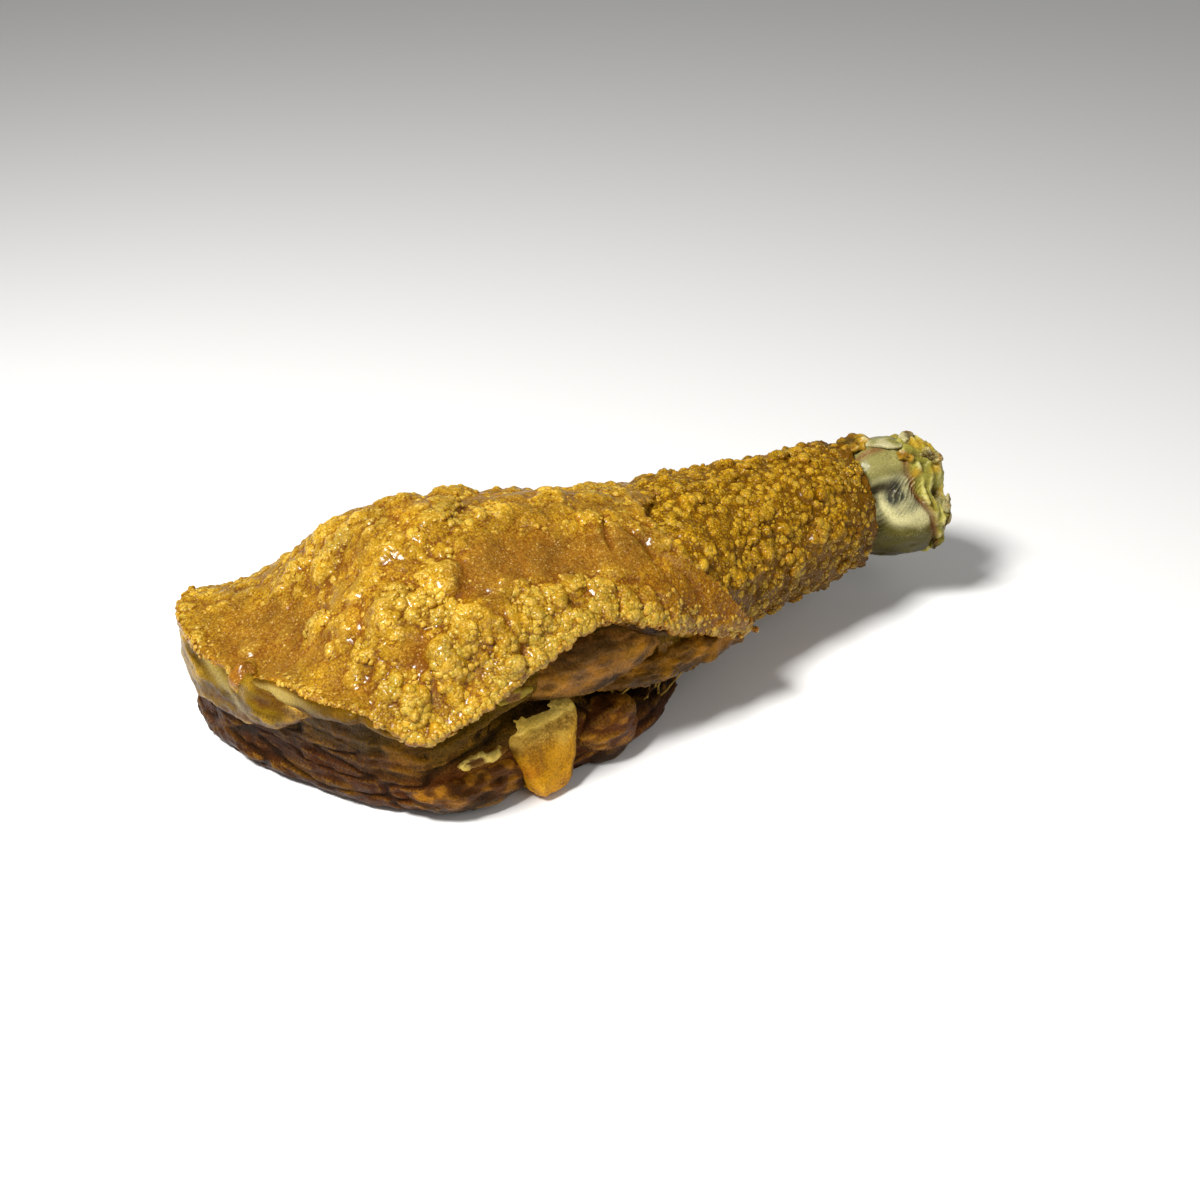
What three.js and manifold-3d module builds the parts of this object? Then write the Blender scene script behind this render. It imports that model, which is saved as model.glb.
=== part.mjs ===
// A roast leg of pork lying on its side with the crackling up, in millimetres, +Z up.
// X runs along the leg from the cut butt end to the hock, Y from the cut inner side to the back.
// The origin is on the flat underside, below the thick of the ham.
// The meat, its fat and its blistered rind are one solid. The aitch bone at the cut side and the
// hock at the shank end show where the meat was cut, and run on into it in fitted sockets.
import * as THREE from "three";
import { mergeVertices } from "three/addons/utils/BufferGeometryUtils.js";
import Module from "manifold-3d";

// Driving dimensions of the skin: an ellipse across the leg at each station along X
const STATION = [-140, -100, -60, -10, 45, 90, 127, 180, 230];
const CENTRE_Y = [20, 10, 6, 0, -5, 3, 12, 17, 22];
const HALF_WIDTH = [75, 84, 88, 84, 71, 60, 50, 40, 33];
const SKIN_TOP = [74, 82, 110, 118, 112, 106, 99, 96, 92];
const SKIN_BOTTOM = [2, 0, -2, -2, 2, 8, 16, 22, 26];
const LOW_FULLNESS = 3; // exponent of the sagged lower half of the ham, 2 being an ellipse
const ROUND_FROM_X = 60; // from here to ROUND_TO_X the lower half turns round
const ROUND_TO_X = 130;

// The rind's cut edge: along the inner side from the front corner to the flank tip, and round the butt
const EDGE_X = [-65, -30, 3, 27, 58, 82, 118];
const EDGE_DEGREES = [178, 162, 152, 149, 160, 176, 192];
const BACK_DEGREES = -52; // where the rind ends under the back
const BUTT_SHARE = [0, 0.25, 0.5, 0.7, 1];
const BUTT_X = [-65, -105, -137, -120, -108];
const RIM_SHARE = [0, 0.08, 0.15, 0.22, 0.3, 0.36, 0.43, 0.5, 0.7, 1]; // the butt edge rises and dips between the corners
const BUTT_Z = [62, 62.5, 73, 70, 68.5, 62.5, 62.5, 65.5, 61, 8];
const BUTT_REACH = 95; // length over which the skin comes down to the butt edge
const BUTT_CURVE = 1.5;
const LAP_SHARE = [0, 0.1, 0.2, 0.3, 0.42, 0.6, 1];
const LAP_X = [121, 104, 82, 76, 100, 135, 135]; // where the ham's rind laps over the shank's
const LAP_LIFT = [1, 3, 4, 2, -3, -6, -6]; // it stands up there, and sinks in towards the back
const LAP_FROM = 0.78;
const RIND_THICK = 9; // rind with the fat under it
const FLANK_TIP = { x: 118, reach: 26, share: 0.16, out: 12 };

// The shank's rind is a sleeve round the bone
const SLEEVE = { from: 62, to: 218, tuck: 12, tuckFrom: 110, tuckTo: 56 };

// The bare meat: its foot on the table, by the share of the way round the rind's edge above it
const ROUND = { butt: 0.35, back: 0.65, lap: 0.85 }; // where the edge turns the rind's corners
const FOOT = [
  [0, 92, -22], [0.06, 78, -40], [0.13, 58, -52], [0.21, 20, -62], [0.28, -24, -64], [0.34, -58, -60],
  [0.42, -92, -28], [0.5, -122, 18], [0.57, -133, 54], [0.65, -126, 76], [0.73, -60, 76], [0.8, 20, 60],
  [0.86, 72, 42], [0.93, 98, 14], [1, 92, -22],
];
const FOOT_ROUND = 9; // radius of the edge round the flat underside
const OVERHANG = 0.05; // share of the rind that stands out past the meat
const MEAT_DEPTH = 6.4; // how far under the even skin the meat's hidden top lies, in the rind
const MEAT_CENTRE = [-10, 4];
// The cleft between the upper and the lower muscles of the inner side
const CLEFT = {
  x: [-60, -20, 15, 60, 100],
  height: [36, 46, 47, 34, 24],
  depthX: [-75, -45, -22, 15, 45, 80, 112],
  depth: [0, 3, 11, 16, 25, 22, 6],
  widthX: [-60, 0, 30, 80],
  below: [5, 6, 11, 15],
  above: 5,
};
const FRONT = { from: 15, to: 35 }; // how far to the front the side of the meat gets its cleft
const LEDGE = { from: 75, to: 100, height: 52, reach: 8, out: 6 }; // fat that stands out at the butt
const CORNER = { x: -40, reach: 32, depth: 9, from: 0.7, to: 0.9 }; // hollow under the front corner

// Lobes fused to the meat: centre, half sizes, and turn about Z in degrees
const LOBES = [
  { at: [34, -53, 17], half: [20, 12, 16], turn: 12 }, // round muscle beside the aitch bone
  { at: [-34, -56, 16], half: [34, 17, 15], turn: 4 }, // lower muscle before the aitch bone
  { at: [42, -51, 62], half: [42, 17, 18], turn: 4 }, // smooth muscle under the rind's arch
  { at: [72, -50, 47], half: [48, 11, 9], turn: 8 }, // rolled flank under the tip
];

// The cut end of the aitch bone: a wedge that narrows downwards and leans out at its foot
const AITCH_BONE = {
  at: [-5, -45, 21.5],
  half: [24, 22, 21],
  turn: 12,
  squareness: 5,
  narrow: 0.6,
  lean: 9,
};

// The hock by the share of its length: shank bone in the sleeve, the knuckle, and its dished cut end
const HOCK = {
  share: [0, 0.24, 0.46, 0.58, 0.72, 0.84, 0.9, 0.95, 1],
  x: [150, 185, 212, 226, 246, 259, 265, 264, 259],
  y: [14, 18, 20, 20, 16, 13, 12, 12, 12],
  z: [59, 59, 60, 60, 60, 59, 58, 58, 58],
  radius: [13, 15, 21, 29, 33, 31, 27, 21, 12],
  bareFrom: 205, // the tendon and the slit beside it show from here
  bareAt: 225,
  tendon: { degrees: 105, spread: 24, high: 4 },
  slit: { degrees: 148, spread: 15, high: -6 },
};
const SOCKET_GAP = 0.4;

// How finely each surface is divided
const HAM_GRID = { rows: 40, cols: 46 };
const SLEEVE_GRID = { rows: 30, cols: 31 };
const MEAT_GRID = { under: 2, side: 15, hidden: 9, cols: 81 };
const LOBE_GRID = { rows: 11, cols: 21 };
const HOCK_GRID = { rows: 26, cols: 29 };

// Blisters of the crackling: large puffs by their place seen from above, and a field of smaller ones
const PUFFS = [
  { x: -66, y: -22, radius: 26, high: 7 },
  { x: -57, y: -40, radius: 13, high: 4 },
  { x: -44, y: -58, radius: 11, high: 5 },
  { x: -30, y: -54, radius: 9, high: 5 },
  { x: -18, y: -61, radius: 8, high: 4 },
  { x: -35, y: -32, radius: 10, high: 4 },
  { x: -38, y: 12, radius: 26, high: 5 },
  { x: 30, y: 2, radius: 22, high: 3 },
  { x: 14, y: -34, radius: 24, high: -4 },
  { x: -108, y: 20, radius: 28, high: -3 },
];
const PUFFS_ABOVE = 40;
const BLISTER = { cell: 15, high: 3.5, seed: 7, smallest: 0.3, spread: 0.35 };

const wasm = await Module();
wasm.setup();

// Reads a smooth curve through the knots (xs, ys) at x, level past its ends.
function through(xs, ys, x) {
  const last = xs.length - 1;
  const at = Math.min(Math.max(x, xs[0]), xs[last]);
  let i = 0;
  while (i < last - 1 && at >= xs[i + 1]) i++;
  const slope = (k) => (ys[k + 1] - ys[k]) / (xs[k + 1] - xs[k]);
  const tangent = (k) => {
    if (k === 0) return slope(0);
    if (k === last) return slope(last - 1);
    return slope(k - 1) * slope(k) <= 0 ? 0 : (slope(k - 1) + slope(k)) / 2;
  };
  const h = xs[i + 1] - xs[i];
  const t = (at - xs[i]) / h;
  return (
    (1 + 2 * t) * (1 - t) ** 2 * ys[i] +
    t * (1 - t) ** 2 * h * tangent(i) +
    t * t * (3 - 2 * t) * ys[i + 1] +
    t * t * (t - 1) * h * tangent(i + 1)
  );
}

// A number from 0 to 1 that depends only on a cell of space and a seed.
function chance(i, j, k, seed) {
  const s = Math.sin(i * 127.1 + j * 311.7 + k * 74.7 + seed * 53.3) * 43758.5453;
  return s - Math.floor(s);
}

// Height of round blisters scattered through space, one to a cell, where they break the skin at p.
function blisterField(p, { cell, seed, smallest, spread }) {
  const base = p.toArray().map((c) => Math.floor(c / cell));
  let high = 0;
  for (let n = 0; n < 27; n++) {
    const step = [n % 3, Math.floor(n / 3) % 3, Math.floor(n / 9)];
    const c = base.map((b, axis) => b + step[axis] - 1);
    const centre = new THREE.Vector3(
      (c[0] + chance(...c, seed)) * cell,
      (c[1] + chance(...c, seed + 1)) * cell,
      (c[2] + chance(...c, seed + 2)) * cell,
    );
    const radius = cell * (smallest + spread * chance(...c, seed + 3));
    high = Math.max(high, Math.sqrt(Math.max(0, radius ** 2 - p.distanceToSquared(centre))) / cell);
  }
  return high;
}

// How far the crackling stands out of the even skin at p.
function crackling(p) {
  let high = BLISTER.high * blisterField(p, BLISTER);
  for (const puff of PUFFS) {
    const away = ((p.x - puff.x) ** 2 + (p.y - puff.y) ** 2) / puff.radius ** 2;
    if (p.z > PUFFS_ABOVE) high += puff.high * Math.exp(-away * away);
  }
  return high;
}

// Centre and half sizes of the skin's ellipse at x.
function skinSection(x) {
  const top = through(STATION, SKIN_TOP, x);
  const bottom = through(STATION, SKIN_BOTTOM, x);
  return {
    y: through(STATION, CENTRE_Y, x),
    z: (top + bottom) / 2,
    wide: through(STATION, HALF_WIDTH, x),
    high: (top - bottom) / 2,
  };
}

// A point of the skin at x, turned by angle from the back over the top; the lower half is fuller.
function skinPoint(x, angle, lift = 0) {
  const s = skinSection(x);
  const round = THREE.MathUtils.smoothstep(x, ROUND_FROM_X, ROUND_TO_X);
  const power = Math.sin(angle) < 0 ? 2 / (LOW_FULLNESS + (2 - LOW_FULLNESS) * round) : 1;
  const bend = (w) => Math.sign(w) * Math.abs(w) ** power;
  const wide = s.wide + lift;
  const high = s.high + lift;
  return new THREE.Vector3(x, s.y + wide * bend(Math.cos(angle)), s.z + high * bend(Math.sin(angle)));
}

// The even outer face of the ham's rind: u from the butt to the shank, v from the cut edge to the back.
function hamSkin(u, v) {
  const buttX = through(BUTT_SHARE, BUTT_X, v);
  const x = buttX + u * (through(LAP_SHARE, LAP_X, v) - buttX);
  const edge = through(EDGE_X, EDGE_DEGREES, x);
  const lap = through(LAP_SHARE, LAP_LIFT, v) * THREE.MathUtils.smoothstep(u, LAP_FROM, 1);
  const p = skinPoint(x, THREE.MathUtils.degToRad(edge + v * (BACK_DEGREES - edge)), lap);
  const near = 1 - Math.min((x - buttX) / BUTT_REACH, 1);
  p.z += (through(RIM_SHARE, BUTT_Z, v) - p.z) * near ** BUTT_CURVE;
  const tip = Math.exp(-(((x - FLANK_TIP.x) / FLANK_TIP.reach) ** 2) - (v / FLANK_TIP.share) ** 2);
  p.y -= FLANK_TIP.out * tip;
  p.z = Math.max(p.z, BUTT_Z.at(-1));
  return p;
}

// The even outer face of the shank's rind, which starts tucked inside the ham.
function sleeveSkin(u, v) {
  const x = SLEEVE.from + u * (SLEEVE.to - SLEEVE.from);
  const s = skinSection(x);
  const tuck = SLEEVE.tuck * THREE.MathUtils.smoothstep(-x, -SLEEVE.tuckFrom, -SLEEVE.tuckTo);
  const angle = v * 2 * Math.PI;
  return new THREE.Vector3(
    x,
    s.y + (s.wide - tuck) * Math.cos(angle),
    s.z + (s.high - tuck) * Math.sin(angle),
  );
}

// The point at (u, v) of a skin and its outward normal there.
function skinPlace(u, v, { at, facing }) {
  const d = 1e-3;
  const point = at(u, v);
  const along = at(Math.min(u + d, 1), v).sub(at(Math.max(u - d, 0), v));
  const across = at(u, Math.min(v + d, 1)).sub(at(u, Math.max(v - d, 0)));
  return { point, normal: across.cross(along).normalize().multiplyScalar(facing) };
}

const HAM_SKIN = { at: hamSkin, facing: -1 };
const SLEEVE_SKIN = { at: sleeveSkin, facing: 1 };

// Evaluates at(u, v) on a grid of rows by cols, row by row.
function grid(rows, cols, at) {
  const made = [];
  for (let i = 0; i < rows; i++)
    for (let j = 0; j < cols; j++) made.push(at(i / (rows - 1), j / (cols - 1)));
  return made;
}

// The two triangles of every cell of a grid, whose first vertex has the number start.
function cells(rows, cols, start = 0) {
  const faces = [];
  for (let i = 0; i < rows - 1; i++)
    for (let j = 0; j < cols - 1; j++) {
      const a = start + i * cols + j;
      faces.push([a, a + cols, a + 1], [a + 1, a + cols, a + cols + 1]);
    }
  return faces;
}

// The closed solid of these faces, turned right side out if they face inwards.
function solidOf(points, faces) {
  const loose = new THREE.BufferGeometry().setFromPoints(points).setIndex(faces.flat());
  const geometry = mergeVertices(loose, 1e-3);
  const mesh = new wasm.Mesh({
    numProp: 3,
    vertProperties: geometry.attributes.position.array,
    triVerts: new Uint32Array(geometry.index.array),
  });
  const solid = new wasm.Manifold(mesh);
  return solid.volume() < 0 ? solidOf(points, faces.map(([a, b, c]) => [a, c, b])) : solid;
}

// A sheet under an even skin, with the crackling on its outer side and a wall round it.
function sheetSolid({ rows, cols }, skin) {
  const places = grid(rows, cols, (u, v) => skinPlace(u, v, skin));
  const outer = places.map(({ point, normal }) => point.clone().addScaledVector(normal, crackling(point)));
  const inner = places.map(({ point, normal }) => point.clone().addScaledVector(normal, -RIND_THICK));
  const n = places.length;
  const faces = [...cells(rows, cols), ...cells(rows, cols, n).map(([a, b, c]) => [a, c, b])];
  const border = [];
  const number = (i, j) => i * cols + j;
  for (let j = 0; j < cols - 1; j++) {
    border.push([number(0, j), number(0, j + 1)]);
    border.push([number(rows - 1, j + 1), number(rows - 1, j)]);
  }
  for (let i = 0; i < rows - 1; i++) {
    border.push([number(i, cols - 1), number(i + 1, cols - 1)]);
    border.push([number(i + 1, 0), number(i, 0)]);
  }
  for (const [a, b] of border) faces.push([a, b, a + n], [b, b + n, a + n]);
  return solidOf([...outer, ...inner], faces);
}

// A closed body of rings, capped by a point at each end; each ring's last point is its first.
function ringSolid(rows, cols, points, firstCap, lastCap) {
  const faces = cells(rows, cols);
  for (let i = 0; i < rows; i++) points[i * cols + cols - 1] = points[i * cols];
  const first = points.length;
  const end = (rows - 1) * cols;
  for (let j = 0; j < cols - 1; j++) {
    faces.push([first, j, j + 1]);
    faces.push([first + 1, end + j + 1, end + j]);
  }
  return solidOf([...points, firstCap, lastCap], faces);
}

// A rounded lobe: a ball, or a softened box when squareness is over 2; below it can narrow and lean out.
function lobeSolid({ at, half, turn, squareness = 2, narrow = 0, lean = 0 }, grow = 0) {
  const { rows, cols } = LOBE_GRID;
  const bend = (w) => Math.sign(w) * Math.abs(w) ** (2 / squareness);
  const centre = new THREE.Vector3(...at);
  const turned = THREE.MathUtils.degToRad(turn);
  const place = (x, y, z) => {
    const below = (1 - z) / 2;
    const across = half[0] * (1 - narrow * below) + grow;
    return new THREE.Vector3(x * across, y * (half[1] + grow) - lean * below, z * (half[2] + grow))
      .applyAxisAngle(new THREE.Vector3(0, 0, 1), turned)
      .add(centre);
  };
  const margin = Math.PI / (rows + 1);
  const points = grid(rows, cols, (u, v) => {
    const up = margin + u * (Math.PI - 2 * margin);
    const round = v * 2 * Math.PI;
    return place(
      bend(Math.sin(up)) * bend(Math.cos(round)),
      bend(Math.sin(up)) * bend(Math.sin(round)),
      -bend(Math.cos(up)),
    );
  });
  return ringSolid(rows, cols, points, place(0, 0, -1), place(0, 0, 1));
}

function shankRind() {
  const { rows, cols } = SLEEVE_GRID;
  const points = grid(rows, cols, (u, v) => {
    const { point, normal } = skinPlace(u, v, SLEEVE_SKIN);
    return point.addScaledVector(normal, crackling(point));
  });
  const cap = (x) => new THREE.Vector3(x, skinSection(x).y, skinSection(x).z);
  return ringSolid(rows, cols, points, cap(SLEEVE.from), cap(SLEEVE.to));
}

// How far the side of the meat is drawn in at a place on it.
function meatInset(p, share) {
  const foot = FOOT_ROUND * (1 - Math.sqrt(1 - Math.max(0, 1 - p.z / FOOT_ROUND) ** 2));
  const front = THREE.MathUtils.smoothstep(-p.y, FRONT.from, FRONT.to);
  const gap = p.z - through(CLEFT.x, CLEFT.height, p.x);
  const width = gap > 0 ? CLEFT.above : through(CLEFT.widthX, CLEFT.below, p.x);
  const cleft = through(CLEFT.depthX, CLEFT.depth, p.x) * Math.exp(-((gap / width) ** 2));
  const underRind = THREE.MathUtils.smoothstep(share, CORNER.from, CORNER.to);
  const corner = CORNER.depth * underRind * Math.exp(-(((p.x - CORNER.x) / CORNER.reach) ** 2));
  const butt = THREE.MathUtils.smoothstep(-p.x, LEDGE.from, LEDGE.to);
  const ledge = LEDGE.out * butt * Math.exp(-(((p.z - LEDGE.height) / LEDGE.reach) ** 2));
  return foot - ledge + front * (cleft + corner);
}

// A point deep in the rind, w of the way round its edge and inward of it by a share.
function withinRind(w, inward) {
  const along = (from, to) => THREE.MathUtils.clamp((w - from) / (to - from), 0, 1);
  const u = w < ROUND.back ? 1 - along(0, ROUND.butt) : along(ROUND.back, ROUND.lap);
  const v = w < ROUND.lap ? along(ROUND.butt, ROUND.back) : 1 - along(ROUND.lap, 1);
  const inside = (share) => 0.5 + (share - 0.5) * (1 - inward);
  const { point, normal } = skinPlace(inside(u), inside(v), HAM_SKIN);
  return point.addScaledVector(normal, -MEAT_DEPTH);
}

// A point of the meat's side, w of the way round and up by a share of its height.
function meatSide(w, up) {
  const share = FOOT.map((p) => p[0]);
  const footX = FOOT.map((p) => p[1]);
  const footY = FOOT.map((p) => p[2]);
  const foot = (at) => new THREE.Vector3(through(share, footX, at), through(share, footY, at), 0);
  const p = foot(w).lerp(withinRind(w, OVERHANG), up);
  const run = foot((w + 0.01) % 1).sub(foot((w + 0.99) % 1));
  const out = new THREE.Vector3(run.y, -run.x, 0).normalize();
  if (out.dot(p) < 0) out.negate();
  return p.addScaledVector(out, -meatInset(p, up));
}

// The meat: rings from the middle of its flat underside, up its side to the rind, and on within it.
function meat() {
  const { under, side, hidden, cols } = MEAT_GRID;
  const middle = new THREE.Vector3(...MEAT_CENTRE, 0);
  const ring = (row, w) => {
    if (row < under) return middle.clone().lerp(meatSide(w, 0), (row + 1) / (under + 1));
    if (row <= under + side) return meatSide(w, (row - under) / side);
    return withinRind(w, OVERHANG + ((1 - OVERHANG) * (row - under - side)) / (hidden + 1));
  };
  const rows = under + side + hidden + 1;
  const points = [];
  for (let row = 0; row < rows; row++)
    for (let j = 0; j < cols; j++) points.push(ring(row, j / (cols - 1)));
  return ringSolid(rows, cols, points, middle, withinRind(0, 1));
}

// The hock: rings round the shank bone and the knuckle, with a tendon along the top of it.
function hock(grow = 0) {
  const { rows, cols } = HOCK_GRID;
  const along = (values, u) => through(HOCK.share, values, u);
  const centre = (u) => new THREE.Vector3(along(HOCK.x, u), along(HOCK.y, u), along(HOCK.z, u));
  const ridge = ({ degrees, spread, high }, v) => high * Math.exp(-(((v * 360 - degrees) / spread) ** 2));
  const points = grid(rows, cols, (u, v) => {
    const p = centre(u);
    const bare = THREE.MathUtils.smoothstep(p.x, HOCK.bareFrom, HOCK.bareAt);
    const reach = along(HOCK.radius, u) + grow + bare * (ridge(HOCK.tendon, v) + ridge(HOCK.slit, v));
    p.y += reach * Math.cos(v * 2 * Math.PI);
    p.z += reach * Math.sin(v * 2 * Math.PI);
    return p;
  });
  const inner = centre(0);
  inner.x -= grow;
  return ringSolid(rows, cols, points, inner, centre(1));
}

// The meat, its muscles and its rind as one body; slivers that the joining leaves are dropped.
function leg() {
  let body = sheetSolid(HAM_GRID, HAM_SKIN).add(shankRind()).add(meat());
  for (const lobe of LOBES) body = body.add(lobeSolid(lobe));
  body = body.subtract(lobeSolid(AITCH_BONE, SOCKET_GAP)).subtract(hock(SOCKET_GAP));
  return body.decompose().sort((a, b) => b.volume() - a.volume())[0];
}

function meshOf(name, solid, material) {
  const made = solid.getMesh();
  const geometry = new THREE.BufferGeometry();
  geometry.setAttribute("position", new THREE.BufferAttribute(made.vertProperties, 3));
  geometry.setIndex(new THREE.BufferAttribute(made.triVerts, 1));
  geometry.computeVertexNormals();
  const mesh = new THREE.Mesh(geometry, material);
  mesh.name = name;
  return mesh;
}

const finish = (color, roughness) => new THREE.MeshStandardMaterial({ color, roughness, metalness: 0 });

const roast = new THREE.Group();
roast.add(meshOf("roast_leg", leg(), finish(0xb06c1c, 0.5)));
roast.add(meshOf("aitch_bone", lobeSolid(AITCH_BONE), finish(0xc98f3c, 0.45)));
roast.add(meshOf("hock", hock(), finish(0xb7ab7c, 0.4)));

export default roast;
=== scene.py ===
# A roast leg of pork lying on its side with the crackling up.
# X runs from the cut butt to the hock, Y from the cut inner side to the back, Z up from the table.
# Lengths are in millimetres and angles in degrees; solid() turns the lengths into metres.
import math

import bpy
import numpy as np
from mathutils import Matrix, Vector


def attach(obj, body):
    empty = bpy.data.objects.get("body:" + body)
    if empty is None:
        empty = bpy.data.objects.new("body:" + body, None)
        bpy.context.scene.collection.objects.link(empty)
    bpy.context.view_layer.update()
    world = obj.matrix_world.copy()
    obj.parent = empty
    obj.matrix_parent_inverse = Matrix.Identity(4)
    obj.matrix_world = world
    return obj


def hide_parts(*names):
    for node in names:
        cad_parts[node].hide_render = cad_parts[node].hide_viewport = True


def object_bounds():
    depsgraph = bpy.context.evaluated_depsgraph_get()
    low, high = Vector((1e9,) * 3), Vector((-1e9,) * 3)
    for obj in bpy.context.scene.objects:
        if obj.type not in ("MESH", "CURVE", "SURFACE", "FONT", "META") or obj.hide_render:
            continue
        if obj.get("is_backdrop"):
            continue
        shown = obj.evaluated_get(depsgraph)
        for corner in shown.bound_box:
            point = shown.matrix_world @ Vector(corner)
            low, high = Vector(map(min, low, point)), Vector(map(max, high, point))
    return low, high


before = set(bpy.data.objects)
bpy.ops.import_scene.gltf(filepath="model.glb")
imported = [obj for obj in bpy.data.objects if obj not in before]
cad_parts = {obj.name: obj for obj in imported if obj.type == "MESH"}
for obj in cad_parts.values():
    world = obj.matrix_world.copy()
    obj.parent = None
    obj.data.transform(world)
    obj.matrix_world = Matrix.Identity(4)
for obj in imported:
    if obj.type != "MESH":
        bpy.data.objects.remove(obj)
cad_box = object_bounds()
MM = 0.001

# The table, the light and the view: a pale table top in a bright white room, a broad soft lamp
# above and a little to the left, and the eye in front of the cut side, looking down on it.
EYE_AIM = Vector((100, 78, 0))
EYE_TURN = math.radians(27)
EYE_DOWN = math.radians(31)
EYE_AWAY = 925
LENS = 49.5
SENSOR = 36
ROOM_COLOUR = (1, 1, 1, 1)
ROOM_LIGHT = 0.24
# Each lamp's name, place, width and power
LAMPS = [("lamp_over", (-650, -250, 1150), 300, 30), ("lamp_front", (300, -1200, 900), 900, 4)]
LAMPS_AIM = Vector((60, 0, 60))
TABLE_HALF = 4000
TABLE_COLOUR = (0.86, 0.85, 0.83, 1)
TABLE_ROUGH = 0.6


def placed(name, data):
    """A new object with this data, put into the scene."""
    thing = bpy.data.objects.new(name, data)
    bpy.context.scene.collection.objects.link(thing)
    return thing


def set_inputs(shader, values):
    """Sets sockets of a shader node to constants."""
    for key, value in values.items():
        shader.inputs[key].default_value = value


look = Vector((math.sin(EYE_TURN), math.cos(EYE_TURN), -math.tan(EYE_DOWN))).normalized()
right = look.cross(Vector((0, 0, 1))).normalized()
eye = bpy.data.cameras.new("eye")
eye.lens = LENS
eye.sensor_width = SENSOR
eye_stand = placed("eye", eye)
eye_stand.matrix_world = Matrix((right, right.cross(look), -look)).transposed().to_4x4()
eye_stand.location = (EYE_AIM - look * EYE_AWAY) * MM
bpy.context.scene.camera = eye_stand
bpy.context.scene.view_settings.view_transform = "Standard"

room = bpy.data.worlds.new("room")
room.use_nodes = True
set_inputs(room.node_tree.nodes["Background"], {"Color": ROOM_COLOUR, "Strength": ROOM_LIGHT})
bpy.context.scene.world = room
for name, at, wide, power in LAMPS:
    light = bpy.data.lights.new(name, "AREA")
    light.size = wide * MM
    light.energy = power
    stand = placed(name, light)
    stand.rotation_euler = (LAMPS_AIM - Vector(at)).to_track_quat("-Z", "Y").to_euler()
    stand.location = Vector(at) * MM

table_mesh = bpy.data.meshes.new("table")
corners = [(x * TABLE_HALF * MM, y * TABLE_HALF * MM, 0) for x, y in [(-1, -1), (1, -1), (1, 1), (-1, 1)]]
table_mesh.from_pydata(corners, [], [(0, 1, 2, 3)])
table_paint = bpy.data.materials.new("table_paint")
table_paint.use_nodes = True
table_shader = table_paint.node_tree.nodes["Principled BSDF"]
set_inputs(table_shader, {"Base Color": TABLE_COLOUR, "Roughness": TABLE_ROUGH})
table_mesh.materials.append(table_paint)
placed("table", table_mesh)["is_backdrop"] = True


# The ham's rind: pig skin with its fat, cut off along the inner side and round the butt. Roasting
# blew it up into crackling, in puffs with many small blisters on them, and left it smooth between.
STATION = [-140, -100, -60, -10, 45, 90, 127, 180, 230]
CENTRE_Y = [20, 10, 6, 0, -5, 3, 12, 17, 22]
HALF_WIDTH = [75, 84, 88, 84, 71, 60, 50, 40, 33]
SKIN_TOP = [74, 82, 110, 118, 112, 106, 99, 96, 92]
SKIN_BOTTOM = [2, 0, -2, -2, 2, 8, 16, 22, 26]
LOW_FULLNESS = 3
ROUND_FROM_TO = [60, 130]
EDGE_X = [-65, -30, 3, 27, 58, 82, 118]
EDGE_DEGREES = [178, 162, 152, 149, 160, 176, 192]
BACK_DEGREES = -52
BUTT_SHARE = [0, 0.25, 0.5, 0.7, 1]
BUTT_X = [-65, -105, -137, -120, -108]
# The butt edge rises and dips between its corners
RIM_SHARE = [0, 0.08, 0.15, 0.22, 0.3, 0.36, 0.43, 0.5, 0.7, 1]
RIM_Z = [62, 62.5, 73, 70, 68.5, 62.5, 62.5, 65.5, 61, 8]
LOWEST = 8
BUTT_REACH = 95
BUTT_CURVE = 1.5
LAP_SHARE = [0, 0.1, 0.2, 0.3, 0.42, 0.6, 1]
LAP_X = [121, 104, 82, 76, 100, 135, 135]
LAP_LIFT = [1, 3, 4, 2, -3, -6, -6]
LAP_FROM = 0.78
RIND_THICK = 9
SQUEEZE = 3
CORNER_U = {"reach": 0.09, "in": 0.035} # how the sheet's front corner is rounded off
CORNER_V = {"reach": 0.07, "in": 0.025}
FLANK_TIP = {"x": 118, "reach": 26, "share": 0.16, "out": 12}
SUNK = 1.5 # the finished skin's hollows lie this far under the even skin, which is the CAD's
LUMPS = {"cell": 15, "high": 3.0, "seed": 7, "smallest": 0.3, "spread": 0.35}
PUFFS_ABOVE = 40
# Broad puffs and dips: the place seen from above, the radius and the height of each
PUFFS = [
    (-66, -22, 26, 7), (-57, -40, 13, 4), (-44, -58, 11, 5), (-30, -54, 9, 5), (-18, -61, 8, 4),
    (-35, -32, 10, 4), (-38, 12, 26, 5), (30, 2, 22, 3), (14, -34, 24, -4), (-108, 20, 28, -3),
]
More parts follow.
